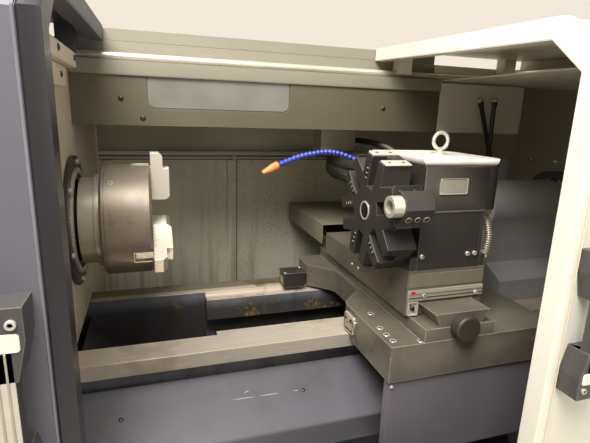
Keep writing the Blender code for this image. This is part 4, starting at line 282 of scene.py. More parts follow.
def bed_finish(name):
    """Painted casting with ground ways: bright on the bed's top and its front way's face, and streaked with oil."""
    material, start, place = start_finish(name)
    x, y, z = (place.axis(number) for number in range(3))
    clouds = start.noise(place, 4.0, 4.0)
    painted = clouds.step(0.3, 0.75).mix((112, 112, 118), (82, 82, 88))
    drips = start.noise(place.stretched((7.0, 7.0, 1.5)), 2.6, 4.0).step(0.5, 0.68)
    painted = (drips * 0.7).mix(painted, (66, 58, 44))
    strokes = start.noise(place.stretched((1.0, 70.0, 70.0)), 12.0, 4.0, 0.6)
    ground = strokes.step(0.3, 0.75).mix((224, 210, 190), (190, 176, 156))
    film = start.noise(place, 9.0, 5.0, 0.62).step(0.52, 0.64)
    ground = (film * (y.step(-0.2, -0.05) * 0.6 + 0.3)).mix(ground, (120, 96, 52))
    top = z.step(WAY_TOP - 0.6 * MM, WAY_TOP - 0.2 * MM)
    inner = z.step(INNER_WAY_TOP - 0.5 * MM, INNER_WAY_TOP - 0.2 * MM) * x.step(GAP_END, GAP_END + 2 * MM)
    inner = inner * y.step(BED_FRONT + 68 * MM, BED_FRONT + 72 * MM)
    front = y.step(BED_FRONT + 0.9 * MM, BED_FRONT + 0.4 * MM) * z.step(WAY_TOP - 33 * MM, WAY_TOP - 32 * MM)
    way = start.math("MAXIMUM", start.math("MAXIMUM", top, inner), front)
    trough = z.step(WAY_TOP - 14 * MM, WAY_TOP - 40 * MM) * y.step(BED_FRONT + 66 * MM, BED_FRONT + 72 * MM)
    painted = (trough * 0.8).mix(painted, (40, 34, 28))
    oil = start.noise(place, 90.0, 3.0, 0.7).step(0.53, 0.6) * start.noise(place, 7.0).step(0.5, 0.6)
    painted = (oil * x.step(-0.42, -0.3)).mix(painted, (118, 98, 36))
    ground = (y.step(0.05, 0.056) * 0.75).mix(ground, (92, 84, 66))
    tone = way.mix(painted, ground)
    end_finish(start, tone, way * (strokes * 0.14 - 0.28) + 0.52, way * 0.45, clouds, 0.4 * MM)
    return material


def rear_wall_finish(name):
    """Old cream paint, darker on its left half and lighter on its right, painted light where the lamp falls; coolant
    specks on its right half, long faint runs, and grime that climbs from the tray.
    """
    material, start, place = start_finish(name)
    x, z = place.axis(0), place.axis(2)
    clouds = start.noise(place, 1.6, 4.0).step(0.3, 0.75)
    # Painted light: the clouds darken only the left half, so the right half stays lit.
    tone = (clouds * x.step(0.1, -0.15)).mix((228, 222, 196), (176, 168, 140))
    dots = specks(start, place, 210.0, 0.6, 0.66, 4.0, 0.4, 0.58)
    tone = (dots * x.step(-0.3, 0.0) * 0.8).mix(tone, (84, 70, 46))
    runs = start.noise(place.stretched((16.0, 16.0, 0.8)), 2.4, 4.0).step(0.5, 0.72)
    tone = (runs * z.step(1.25, 0.8) * 0.5).mix(tone, (108, 94, 66))
    tone = (z.step(0.86, 0.76) * clouds).mix(tone, (92, 78, 50))
    end_paint(start, place, tone, clouds * 0.14 + 0.36 + dots * 0.2)
    return material


def beam_finish(name):
    """The same cream, lighter on the lip, darker and olive on the recessed face below it: painted shade where the lip
    overhangs that face.
    """
    material, start, place = start_finish(name)
    clouds = start.noise(place, 1.8, 4.0).step(0.3, 0.75)
    lip = clouds.mix((138, 132, 114), (124, 118, 101))
    # Painted shade: the recessed face below the lip is painted darker and olive, where the lip's overhang shades it.
    face = clouds.mix((94, 86, 66), (78, 72, 56))
    tone = place.axis(2).step(1.45, 1.456).mix(face, lip)
    dots = specks(start, place, 170.0, 0.64, 0.72, patch_end=0.6)
    tone = (dots * 0.7).mix(tone, (96, 84, 60))
    end_paint(start, place, tone, clouds * 0.14 + 0.36)
    return material


def plastic(name, colour, rough=0.5, grain=700.0, depth=0.06 * MM):
    """Moulded plastic or rubber: one colour that dulls in soft clouds, with a fine matt grain."""
    material, start, place = start_finish(name)
    clouds = start.noise(place, 14.0, 4.0)
    tone = clouds.step(0.3, 0.8).mix(colour, scaled(colour, 0.72))
    end_finish(start, tone, clouds * 0.2 + (rough - 0.1), height=start.noise(place, grain, 2.0), depth=depth)
    return material


def glass(name, colour, alpha, rough=0.08):
    """A thin tinted pane: smeared unevenly, so that its gloss and its haze drift across it."""
    material, start, place = start_finish(name)
    smear = start.noise(place.stretched((2.0, 2.0, 7.0)), 4.0, 5.0, 0.65).step(0.35, 0.75)
    tone = smear.mix(colour, scaled(colour, 1.25))
    end_finish(start, tone, smear * 0.25 + rough, more={"Alpha": smear * 0.18 + alpha, "IOR": 1.49})
    return material


# Shapes: each is a pair, an array of points and a list of faces


def circle(radius, steps=32, start=0.0):
    """Points (radius cos t, radius sin t) at even steps of t, which begin at start."""
    t = start + np.arange(steps) * 2 * math.pi / steps
    return np.stack([radius * np.cos(t), radius * np.sin(t)], 1)


def hexagon(radius, steps=24):
    """A hexagon whose corners are at that radius: r(t) = radius cos 30 / cos(t mod 60 - 30), in degrees."""
    t = np.arange(steps) * 2 * math.pi / steps
    lean = np.mod(t, math.pi / 3) - math.pi / 6
    r = radius * math.cos(math.pi / 6) / np.cos(lean)
    return np.stack([r * np.cos(t), r * np.sin(t)], 1)


def rounded(width, height, corner, steps=6):
    """A rectangle about the origin with round corners: four quarter circles joined by straight sides."""
    t = np.linspace(0, math.pi / 2, steps)
    quarter = np.stack([np.cos(t), np.sin(t)], 1) * corner
    sides = []
    for across, along in ((1, 1), (-1, 1), (-1, -1), (1, -1)):
        sides.append(quarter + [across * (width / 2 - corner), along * (height / 2 - corner)])
        quarter = np.stack([-quarter[:, 1], quarter[:, 0]], 1)
    return np.concatenate(sides)


def inset(outline, amount):
    """The outline moved inwards by amount: each point moves along the mean of its two sides' normals."""
    ahead = np.roll(outline, -1, 0) - outline
    behind = outline - np.roll(outline, 1, 0)
    ahead = ahead / np.linalg.norm(ahead, axis=1, keepdims=True)
    behind = behind / np.linalg.norm(behind, axis=1, keepdims=True)
    both = ahead + behind
    square = (both * both).sum(1, keepdims=True) / 2
    return outline + np.stack([-both[:, 1], both[:, 0]], 1) / square * amount


def level(outline, height):
    """The outline's points as a ring at that height."""
    return np.column_stack([outline, np.full(len(outline), height)])


def stack(outline, levels):
    """Rings for a skin: ring k is the outline moved inwards by levels[k][0], at the height levels[k][1]."""
    return np.array([level(inset(outline, amount), height) for amount, height in levels])


def skin(rings):
    """Quads between neighbours on neighbouring rings, and a face over each end: rings is (rows, points, 3)."""
    rows, count = rings.shape[:2]
    index = np.arange(rows * count).reshape(rows, count)
    after = np.roll(index, -1, 1)
    quads = np.stack([index[:-1], after[:-1], after[1:], index[1:]], -1).reshape(-1, 4)
    return rings.reshape(-1, 3), quads.tolist() + [index[0, ::-1].tolist(), index[-1].tolist()]


def loop(rings):
    """A skin whose last ring joins its first again, as on a torus or a frame."""
    rows, count = rings.shape[:2]
    index = np.arange(rows * count).reshape(rows, count)
    beside, ahead = np.roll(index, -1, 1), np.roll(index, -1, 0)
    quads = np.stack([index, beside, np.roll(ahead, -1, 1), ahead], -1).reshape(-1, 4)
    return rings.reshape(-1, 3), quads.tolist()


def laid(shape, origin, across, along):
    """The shape with its first two axes turned to across and along, its third square to them, moved to origin."""
    across = np.array(across, float) / np.linalg.norm(across)
    along = np.array(along, float) - across * np.dot(along, across)
    along = along / np.linalg.norm(along)
    basis = np.stack([across, along, np.cross(across, along)])
    points, faces = shape
    return points @ basis + np.array(origin, float), faces


def joined(shapes):
    """Several shapes as one: their points one after another, their faces renumbered."""
    points, faces, count = [], [], 0
    for more, skins in shapes:
        points.append(more)
        faces += [[corner + count for corner in face] for face in skins]
        count += len(more)
    return np.concatenate(points), faces


def turned(profile, steps=48):
    """A turned form about the third axis: point (r, h) of the profile goes to (r cos t, r sin t, h)."""
    return skin(np.array([level(circle(1.0, steps) * radius, height) for radius, height in profile]))


def ring_of(profile, steps=48):
    """A ring: the closed profile of points (r, h) turned about the third axis, (r cos t, r sin t, h)."""
    return loop(np.array([level(circle(1.0, steps) * radius, height) for radius, height in profile]))


def socket_screw(radius, height, steps=24):
    """A cap screw: a round head with a bevelled rim and a hexagonal socket sunk in its top."""
    rim, mouth, bevel = circle(radius, steps), hexagon(radius * 0.56, steps), radius * 0.14
    rings = [level(rim, 0.0), level(rim, height - bevel), level(inset(rim, bevel), height)]
    return skin(np.array([*rings, level(mouth, height), level(mouth, height - radius * 0.7)]))


def dome_screw(radius, height, steps=20):
    """A round-headed screw: its profile is the quarter ellipse (radius sin t, height cos t)."""
    t = np.linspace(math.pi / 2, 0.08, 6)
    return turned([(radius, 0.0), *zip(radius * np.sin(t), height * np.cos(t))], steps)


def slab(outline, thickness, rim=0.6 * MM):
    """A plate of that outline whose upper rim is bevelled."""
    return skin(stack(outline, [(0.0, 0.0), (0.0, thickness - rim), (rim, thickness)]))


def tray_plate(width, height, corner, lip, thickness, floor_depth):
    """A plate with a raised lip round it: up the outside, over the lip and down to a floor inside."""
    levels = [(0.0, 0.0), (0.0, thickness), (lip * 0.3, thickness + lip * 0.2), (lip, thickness)]
    return skin(stack(rounded(width, height, corner), [*levels, (lip * 1.3, floor_depth)]))


def hollow_plate(outline, mouth, thickness):
    """A plate with a hole: round the outline, up, in to the mouth's outline, and down again."""
    rings = [level(outline, 0.0), level(outline, thickness), level(mouth, thickness), level(mouth, 0.0)]
    return loop(np.array(rings))


def louvre(width, height, depth):
    """A pressed vent: a half-round hood, width across, whose height over its base is depth sin(pi v / height)."""
    v = np.linspace(0, height, 9)
    rise = np.column_stack([v - height / 2, depth * np.sin(math.pi * v / height)])
    outline = np.concatenate([rise, rise[::-1] * [1, 0] - [0, 0.0004]])[:-1]
    ends = [(-width / 2, 0.0), (-width / 2 + 0.012, 1.0), (width / 2 - 0.012, 1.0), (width / 2, 0.0)]
    rings = [np.column_stack([np.full(len(outline), u), outline[:, 0], outline[:, 1] * full]) for u, full in ends]
    return skin(np.array(rings))


def smooth_line(points, steps=12):
    """A smooth curve through the points: on each span the cubic whose slopes are half the neighbours' difference."""
    points = np.array(points, float)
    padded = np.concatenate([points[:1], points, points[-1:]])
    a, b, c, d = padded[:-3], padded[1:-2], padded[2:-1], padded[3:]
    t = (np.arange(steps) / steps)[None, :, None]
    a, b, c, d = (q[:, None, :] for q in (a, b, c, d))
    cubic = 2 * b + (c - a) * t + (2 * a - 5 * b + 4 * c - d) * t**2 + (3 * b - a - 3 * c + d) * t**3
    return np.concatenate([(cubic / 2).reshape(-1, 3), points[-1:]])


def swept(path, radii, steps):
    """A tube on a path: ring k has radius radii[k] in the plane square to the path, and no ring is twisted."""
    tangents = np.gradient(path, axis=0)
    tangents /= np.linalg.norm(tangents, axis=1, keepdims=True)
    side = np.cross(tangents[0], (0.0, 0.0, 1.0) if abs(tangents[0][2]) < 0.9 else (1.0, 0.0, 0.0))
    sides = []
    for tangent in tangents:
        side = side - tangent * np.dot(side, tangent)
        side = side / np.linalg.norm(side)
        sides.append(side)
    sides = np.array(sides)
    ups = np.cross(tangents, sides)
    ring = circle(1.0, steps)
    rings = ring[None, :, :1] * sides[:, None, :] + ring[None, :, 1:] * ups[:, None, :]
    return skin(path[:, None, :] + rings * np.asarray(radii)[:, None, None])


def ribbed_tube(radius, pitch, depth, power, route):
    """A tube of radius - depth (0.5 + 0.5 cos(2 pi s / pitch)) ** power, where s is the length along the route."""
    path = smooth_line(route)
    lengths = np.concatenate([[0.0], np.cumsum(np.linalg.norm(np.diff(path, axis=0), axis=1))])
    along = np.linspace(0, lengths[-1], int(round(lengths[-1] / (pitch / 8))) + 1)
    path = np.stack([np.interp(along, lengths, path[:, axis]) for axis in range(3)], 1)
    wave = 0.5 + 0.5 * np.cos(2 * math.pi * along / pitch)
    return swept(path, radius - depth * wave**power, 20)


def bent_sheet(line, width, thickness):
    """A strip of metal: the line, points (u, h), given a thickness square to itself, and carried across the width."""
    line = np.array(line, float)
    slope = np.gradient(line, axis=0)
    slope /= np.linalg.norm(slope, axis=1, keepdims=True)
    normal = np.stack([-slope[:, 1], slope[:, 0]], 1) * thickness
    outline = np.concatenate([line, (line + normal)[::-1]])
    return skin(np.array([level(outline, side) for side in (-width / 2, width / 2)]))


def along_door(edge, section):
    """A section of points (u, n) carried along a door's line: u runs along X and n stands off the sheet."""
    runs = np.diff(DOOR_LINE, axis=0)
    runs /= np.linalg.norm(runs, axis=1, keepdims=True)
    normals = np.stack([-runs[:, 1], runs[:, 0]], 1)
    before = np.concatenate([normals[:1], normals])
    middle = before + np.concatenate([normals, normals[-1:]])
    miter = middle / (middle * before).sum(1, keepdims=True)
    section = np.array(section, float)
    rings = []
    for (y, z), (across, rise) in zip(DOOR_LINE, miter):
        height = np.minimum(z + section[:, 1] * rise, DOOR_TOP)
        rings.append(np.stack([edge + section[:, 0], y + section[:, 1] * across, height], 1))
    return skin(np.array(rings))


# Pieces


def stand(name, mesh, finish, bevel, body):
    """Stands a mesh in the scene: smooth across gentle edges, sharp ones rounded over bevel, moving with its body."""
    mesh.shade_smooth()
    mesh.set_sharp_from_angle(angle=math.radians(32))
    mesh.materials.clear()
    mesh.materials.append(finish)
    made = bpy.data.objects.new(name, mesh)
    bpy.context.scene.collection.objects.link(made)
    if bevel:
        edge = made.modifiers.new("rounded_edges", "BEVEL")
        edge.width = bevel
        edge.segments = 2
        edge.limit_method = "ANGLE"
        edge.angle_limit = math.radians(38)
        edge.harden_normals = True
    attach(made, body)
    return made


def fit(name, body, finish, shape, bevel=0.0):
    """Makes a shape a piece, its faces outwards, with its finish as its material."""
    points, faces = shape
    mesh = bpy.data.meshes.new(name)
    mesh.from_pydata(np.asarray(points).tolist(), [], faces)
    work = bmesh.new()
    work.from_mesh(mesh)
    bmesh.ops.recalc_face_normals(work, faces=work.faces)
    work.to_mesh(mesh)
    work.free()
    return stand(name, mesh, finish, bevel, body)


def dress(node, finish, bevel):
    """Stands a smooth copy in a solid's place, doubles merged and flat faces joined, or a hose's ribbed tube."""
    name, solid = node + "_finished", frame["nodes"][node]
    if node in HOSES:
        made = fit(name, solid["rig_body"], finish, ribbed_tube(*HOSES[node]))
    else:
        mesh = solid.data.copy()
        mesh.name = name
        work = bmesh.new()
        work.from_mesh(mesh)
        bmesh.ops.remove_doubles(work, verts=work.verts, dist=1e-6)
        bmesh.ops.dissolve_limit(work, angle_limit=math.radians(0.6), verts=work.verts, edges=work.edges)
        work.to_mesh(mesh)
        work.free()
        made = stand(name, mesh, finish, bevel, solid["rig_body"])
    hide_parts(node)


# The room

add_camera()
scene = bpy.context.scene
scene.view_settings.view_transform = "Standard"


def room_finish(name, colour):
    """A pale matt finish that drifts a little in tone."""
    material, start, place = start_finish(name)
    tone = start.noise(place, 0.8, 3.0).step(0.3, 0.7).mix(colour, scaled(colour, 0.96))
    end_finish(start, tone, start.noise(place, 3.0) * 0.1 + 0.8)
    return material


def light_world():
    """Even light from all round; where the camera or a reflection sees past the floor, a warm white wall."""
    world = bpy.data.worlds.new("room")
    world.use_nodes = True
    world.node_tree.nodes.clear()
    start = Wire(world.node_tree)
    kinds = ("Camera", "Glossy", "Transmission")
    direct, glossy, through = (start.node("LightPath", output="Is %s Ray" % kind) for kind in kinds)
    seen = direct + glossy * 0.6 + through
    seen = seen.math("MINIMUM", seen, 1.0)
    colour = seen.mix((232, 229, 224), (244, 233, 218))
    strength = seen * (1.0 - ROOM_LIGHT) + ROOM_LIGHT
    shader = start.node("Background", {}, {"Color": colour, "Strength": strength})
    start.node("OutputWorld", {}, {"Surface": shader})
    scene.world = world


light_world()
add_lamp("ceiling_lamp", (-0.75, -1.25, 3.1), (0.1, -0.2, 1.0), 1.5, 152)
add_lamp("front_lamp", (0.9, -3.0, 1.9), (0.1, 0.0, 1.0), 1.8, 12)

floor_points = [(x * FLOOR_REACH, y * FLOOR_REACH, 0.0) for x, y in ((-1, -1), (1, -1), (1, 1), (-1, 1))]
floor_mesh = bpy.data.meshes.new("floor")
floor_mesh.from_pydata(floor_points, [], [[0, 1, 2, 3]])
floor_mesh.materials.append(room_finish("pale_floor", (226, 222, 214)))
floor = bpy.data.objects.new("floor", floor_mesh)
scene.collection.objects.link(floor)


# Finishes

cream_sheet = paint("cream_sheet_paint", (228, 221, 203), (216, 208, 189), 0.4, 1.6, (0.66, 0.76, (170, 158, 132)))
wall_cream = paint(
    "chipped_cream_paint", (238, 224, 196), (216, 200, 170), 0.42, 2.4,
    dots=(0.66, 0.74, (112, 90, 60)), grime=(1.0, 0.7, (120, 100, 66)),
)
rear_cream = rear_wall_finish("stained_cream_paint")
beam_cream = beam_finish("beam_cream_paint")
beam_dark = paint("shaded_beam_paint", (226, 218, 202), (206, 198, 184), 0.4, 2.0)
pale_cream = paint("seam_cream_paint", (222, 214, 188), (198, 190, 162), 0.4, 2.0)
grey_sheet = paint("grey_door_paint", (104, 101, 106), (92, 89, 94), 0.4, 1.4, (0.68, 0.78, (90, 86, 92)))
# Painted shade: the left door's edge trim is the grey door paint as it looks in shade.
door_edge_shade = paint("door_edge_painted_shade", (38, 35, 37), (30, 28, 30), 0.34, 2.0)
# Painted highlight: the left door's edge bead is painted lighter than the door, as a highlight along its edge.
door_edge_highlight = paint("door_edge_painted_highlight", (132, 127, 134), (112, 107, 114), 0.34, 6.0)
pale_line = paint("pale_worn_edge_paint", (206, 200, 204), (176, 170, 176), 0.34, 6.0)
slate = paint("slate_sheet_paint", (112, 106, 109), (90, 85, 89), 0.42, 1.8, (0.66, 0.76, (150, 140, 130)))
dark_slate = paint("dark_slate_paint", (74, 70, 68), (58, 55, 53), 0.4, 2.0, edge=(150, 140, 120))
# Painted light and painted shade: the guard is lighter on its slope above the fold and darker on the face below it.
tray_slate = paint_with_lit_top("guard_sheet_paint", (44, 41, 43), (36, 34, 35), (82, 78, 82), 0.737, 0.741)
casting = paint("slate_casting_paint", (96, 95, 100), (74, 72, 76), 0.5, 4.0)
tail_iron = paint("pale_casting_paint", (176, 174, 172), (150, 148, 146), 0.5, 4.0)
motor_paint = paint("motor_grey_paint", (92, 98, 104), (76, 82, 88), 0.5, 3.0)
turret_paint = paint("turret_black_paint", (56, 51, 46), (44, 40, 36), 0.36, 3.0, edge=(160, 148, 128))
# Painted light: the turret housing's top is painted pale cream where light falls on it, and its sides are dark.
housing_paint = paint_with_lit_top("turret_housing_paint", (56, 51, 46), (46, 42, 38), (222, 214, 198), 1.288, 1.298)

pale_steel = metal("pale_steel", (196, 188, 170), (160, 150, 128), 0.34, (1.0, 30.0, 30.0))
chuck_steel = metal(
    "turned_chuck_steel", (142, 130, 114), (114, 104, 88), 0.44, (70.0, 1.0, 1.0), 30.0,
    stain=(120, 104, 80), edge=(232, 222, 204),
)
jaw_steel = metal("ground_jaw_steel", (232, 224, 206), (208, 198, 178), 0.28, (2.0, 2.0, 60.0), edge=(250, 246, 236))
saddle_iron = metal(
    "saddle_iron", (126, 118, 104), (98, 90, 78), 0.34, (40.0, 2.0, 40.0), 20.0, 0.35,
    stain=(80, 70, 54), edge=(236, 226, 204),
)
cover_iron = metal("oiled_cover_sheet", (146, 136, 118), (118, 108, 92), 0.34, (30.0, 2.0, 30.0), 14.0, 0.3)
bright_steel = metal("bright_steel", (222, 216, 202), (188, 180, 162), 0.22, (2.0, 40.0, 40.0))
dark_steel = metal("dark_steel", (72, 68, 64), (54, 50, 46), 0.36, (20.0, 1.0, 1.0), edge=(140, 130, 112))
black_steel = metal("black_oxide_steel", (48, 45, 42), (36, 33, 31), 0.32, (2.0, 30.0, 30.0), edge=(120, 112, 98))
cast_grey = metal("cast_iron", (104, 104, 104), (84, 83, 82), 0.55, (1.0, 1.0, 1.0), 90.0, 0.4)
rubber = plastic("black_rubber", (34, 33, 32), 0.7)
black_plastic = plastic("black_plastic", (54, 47, 40), 0.5)
blue_plastic = plastic("blue_hose_plastic", (56, 66, 150), 0.35, 900.0)
orange_plastic = plastic("orange_nozzle_plastic", (222, 132, 70), 0.45, 900.0)
red_plastic = plastic("red_plastic", (196, 44, 34), 0.35, 900.0)
yellow_plastic = plastic("yellow_collar_plastic", (222, 184, 40), 0.4, 900.0)
lamp_glass = plastic("frosted_lamp_glass", (118, 114, 104), 0.24, 60.0, 0.1 * MM)
screen_glass = plastic("dark_screen_glass", (34, 38, 44), 0.16, 40.0, 0.03 * MM)
window_glass = glass("tinted_window", (108, 118, 116), 0.42)

# The solids by finish, and how many millimetres each one's sharp edges are rounded over
DRESSED = [
    (slate, {"left_pedestal": 3.0, "right_pedestal": 3.0, "apron": 2.0, "coolant_tank": 1.0, "rear_chip_tray": 0.8}),
    (tray_slate, {"front_chip_tray": 0.8}),
    (bed_finish("ground_and_painted_casting"), {"bed": 2.0}),
    (casting, {"headstock": 3.0}),
    (tail_iron, {"tailstock_body": 3.0}),
    (motor_paint, {"main_motor": 0.6}),
    (cast_grey, {"handwheel": 1.0, "spindle_pulley": 0.0, "motor_pulley": 0.0}),
    (wall_cream, {"chuck_side_wall": 0.6}),
    (rear_cream, {"rear_wall": 0.6}),
    (beam_cream, {"upper_beam": 0.8}),
    (cream_sheet, {"cabinet_door": 2.0, "electrical_cabinet": 1.5, "tailstock_cover": 1.2, "right_door": 1.0}),
    (grey_sheet, {"control_panel": 1.5, "headstock_cover": 1.2, "left_door": 1.0}),
    (dark_slate, {"left_handle": 1.5, "right_handle": 1.5}),
    (window_glass, {"left_window": 0.0, "right_window": 0.0}),
    (lamp_glass, {"work_light": 1.5}),
    (saddle_iron, {"saddle": 1.2, "cross_slide": 1.2}),
    (cover_iron, {"cross_servo_cover": 0.8}),
    (housing_paint, {"turret_housing": 1.6}),
    (turret_paint, {"turret_disc": 1.2, "tool_block": 1.2}),
    (chuck_steel, {"chuck_body": 1.2}),
    (jaw_steel, {"jaw_1": 0.8, "jaw_2": 0.8, "jaw_3": 0.8}),
    (dark_steel, {"wall_flange": 1.0}),
    (black_steel, {"spindle": 0.8, "clamp_lever_1": 0.5, "clamp_lever_2": 0.5}),
    (pale_steel, {"conduit": 0.0, "chuck_adapter": 1.0, "cable_box": 1.0}),
    (bright_steel, {
        "tailstock_quill": 0.8, "boring_sleeve": 0.6,
        "door_rail": 0.0, "bed_screw": 0.0, "cross_screw": 0.0, "eyebolt": 0.0,
    }),
    (red_plastic, {"isolator_knob": 1.0, "emergency_stop": 1.0}),
    (black_plastic, {"screw_cap": 1.6, "bed_servo": 1.0, "cross_servo": 1.0, "turret_cable": 0.0}),
    (blue_plastic, {"coolant_hose": 0.0}),
    (orange_plastic, {"coolant_nozzle": 0.3}),
    (rubber, {"drive_belt": 0.0}),
]

# The ribbed tubes that stand in the places of the hoses: the values that ribbed_tube takes
HOSES = {
    "coolant_hose": (0.007, 0.0112, 0.003, 2.0, [
        (0.191, -0.195, 1.257), (0.184, -0.195, 1.257), (0.165, -0.177, 1.269), (0.125, -0.166, 1.285),
        (0.085, -0.17, 1.291), (0.043, -0.18, 1.288), (0.0, -0.19, 1.28), (-0.048, -0.2, 1.264),
    ]),
    "turret_cable": (0.009, 0.0046, 0.0018, 1.0, [
        (0.268, 0.1, 1.305), (0.282, 0.1, 1.305), (0.297, 0.092, 1.304), (0.318, 0.06, 1.3),
        (0.33, -0.01, 1.292), (0.328, -0.09, 1.276), (0.326, -0.15, 1.262), (0.326, -0.1857, 1.26),
    ]),
    "conduit": (0.008, 0.0052, 0.002, 1.0, [
        (0.374, -0.392, 1.1908), (0.374, -0.392, 1.178), (0.378, -0.396, 1.16), (0.384, -0.4, 1.13),
        (0.382, -0.4, 1.098), (0.377, -0.4, 1.085), (0.3644, -0.4, 1.085),
    ]),
}
for finish, edges in DRESSED:
    for node, edge in edges.items():
        dress(node, finish, edge * MM)


# Fittings set on the dressed solids: each shape is laid on a face, named by the way that it looks

FACES = {
    "front": ((1, 0, 0), (0, 0, 1)),
    "left": ((0, -1, 0), (0, 0, 1)),
    "right": ((0, 1, 0), (0, 0, 1)),
    "back": ((-1, 0, 0), (0, 0, 1)),
    "up": ((1, 0, 0), (0, 1, 0)),
    "down": ((1, 0, 0), (0, -1, 0)),
}


def on(face, shape, origin):
    """The shape laid on a face at that point."""
    return laid(shape, origin, *FACES[face])


def each(face, shape, origins):
    """The shape laid on a face at each of many points."""
    return joined([on(face, shape, origin) for origin in origins])


def plate(face, origin, width, height, thickness, corner=2 * MM, rim=0.5 * MM):
    """A bevelled plate with round corners, laid on a face about that point."""
    return on(face, slab(rounded(width, height, corner), thickness, rim), origin)


def facing(shape, origin, normal):
    """The shape laid with its first axis along X and its third along the normal."""
    return laid(shape, origin, (1, 0, 0), np.cross(normal, (1, 0, 0)))


# Plates, strips and seams: the piece, its body and finish, and for each plate the values that plate takes
PLATES = [
    ("roof_seal", "machine", beam_cream, [("front", (-0.005, 0.0145, 1.544), 0.966, 0.027, 0.004)]),
    ("rear_wall_seams", "machine", pale_cream, [
        ("up", (-0.4863, 0.4158, 0.61), 0.0067, 0.0077, 0.728),
        ("front", (-0.005, 0.4196, 1.232), 0.96, 0.006, 0.0045, 0.001),
        ("front", (-0.005, 0.4196, 1.216), 0.96, 0.004, 0.003, 0.001),
        ("front", (-0.0395, 0.4196, 0.975), 0.0035, 0.5, 0.0045, 0.001),
        ("front", (-0.0305, 0.4196, 0.975), 0.0035, 0.5, 0.0045, 0.001),
        ("front", (-0.035, 0.4196, 0.975), 0.006, 0.5, 0.0025, 0.001),
    ]),
    ("rear_wall_seam_shades", "machine", dark_slate, [
        ("front", (-0.0435, 0.4194, 0.975), 0.003, 0.5, 0.0012, 0.001, 0.0003),
        ("front", (-0.0265, 0.4194, 0.975), 0.003, 0.5, 0.0012, 0.001, 0.0003),
        ("front", (-0.005, 0.4194, 1.224), 0.96, 0.005, 0.0012, 0.001, 0.0003),
        ("front", (-0.005, 0.4194, 1.212), 0.96, 0.003, 0.0012, 0.001, 0.0003),
    ]),
    ("rear_wall_foot_line", "machine", dark_slate, [
        ("front", (-0.26, 0.419, 0.735), 0.42, 0.004, 0.003, 0.001),
        ("front", (0.12, 0.419, 0.735), 0.3, 0.004, 0.003, 0.001),
    ]),
    ("beam_plate_right", "machine", beam_dark, [("front", (0.63015, -0.027, 1.4085), 0.2997, 0.139, 0.003, 0.001)]),
    ("post_brackets", "machine", wall_cream, [
        ("right", (-0.4897, -0.305, 1.4665), 0.29, 0.029, 0.0347, 0.003, 0.0012),
        ("right", (-0.4897, -0.305, 1.4325), 0.19, 0.038, 0.0217, 0.003, 0.0012),
        ("right", (-0.4897, -0.315, 1.4922), 0.53, 0.0214, 0.006, 0.002, 0.0008),
    ]),
    ("housing_seams", "cross_slide", black_steel, [
        ("front", (0.2695, -0.4228, 1.1908), 0.15, 0.0022, 0.001, 0.0008),
        ("front", (0.3405, -0.4228, 1.144), 0.0018, 0.088, 0.001, 0.0008),
        ("up", (0.2925, -0.309, 1.2988), 0.18, 0.0016, 0.0006, 0.0006, 0.0002),
    ]),
    ("slide_wiper", "cross_slide", pale_steel, [
        ("front", (0.27, -0.4228, 1.0155), 0.188, 0.024, 0.0045, 0.002, 0.0012),
        ("front", (0.27, -0.427, 1.0215), 0.186, 0.004, 0.0016, 0.0016),
    ]),
    ("slide_wiper_felt", "cross_slide", black_plastic,
     [("front", (0.27, -0.427, 1.0105), 0.184, 0.0024, 0.0006, 0.001, 0.0002)]),
    ("red_mark", "cross_slide", red_plastic,
     [("front", (0.187, -0.4286, 1.0235), 0.01, 0.0066, 0.0006, 0.002, 0.0002)]),
    ("slide_front_lip", "cross_slide", cover_iron, [("front", (0.27, -0.4228, 1.048), 0.184, 0.03, 0.0014)]),
    ("way_switch_box", "carriage", turret_paint, [
        ("up", (0.07, 0.03, 0.8775), 0.066, 0.05, 0.042, 0.003, 0.0012),
        ("up", (0.07, 0.03, 0.919), 0.07, 0.054, 0.003, 0.004, 0.001),
    ]),
    ("way_switch_plate", "carriage", pale_steel,
     [("left", (0.0372, 0.03, 0.896), 0.03, 0.022, 0.0008, 0.002, 0.0003)]),
    ("cabinet_lock_plate", "cabinet_door", black_plastic,
     [("back", (0.505, 0.7352, 0.875), 0.034, 0.12, 0.006, 0.008, 0.002)]),
    ("screen_pane", "machine", screen_glass,
     [("front", (1.11, -0.7123, 1.26), 0.1955, 0.1455, 0.0012, 0.003, 0.0003)]),
]
for name, body, finish, plates in PLATES:
    fit(name, body, finish, joined([plate(*values) for values in plates]))

# Places and profiles for the table below: a profile is points (r, h)
WING_SCREWS = [
    (0.1422, -0.3353, 0.9399), (0.1286, -0.4047, 0.9399), (0.1278, -0.4347, 0.9399),
    (0.1279, -0.4615, 0.9399), (0.1826, -0.4755, 0.9399),
]
FLANGE_BOLTS = [
    (-0.4807, SPINDLE_Y + 0.131 * math.cos(t), SPINDLE_Z + 0.131 * math.sin(t))
    for t in np.arange(6) * math.pi / 3 + 0.35
]
LEVER_KNOB = turned([(0.003, 0.0), (0.0072, 0.003), (0.0092, 0.009), (0.0072, 0.015), (0.002, 0.018)], 24)
FLANGE_RING = [(0.106, 0.0), (0.106, 0.0042), (0.1072, 0.005), (0.1168, 0.005), (0.118, 0.0042), (0.118, 0.0)]
HUB_RING = [(0.0165, 0.0), (0.0165, 0.0014), (0.0172, 0.0018), (0.0198, 0.0018), (0.0205, 0.0014), (0.0205, 0.0)]
CHUCK_GROOVE = [(0.1245, 0.0), (0.12525, 0.0), (0.12525, 0.0016), (0.1245, 0.0016)]
ADAPTER_COLLAR = [(0.103, 0.0), (0.1043, 0.0003), (0.1043, 0.003), (0.103, 0.0033)]
WING_SCREW_RIM = [(0.0046, 0.0), (0.0049, 0.0008), (0.0066, 0.0008), (0.0072, 0.0)]
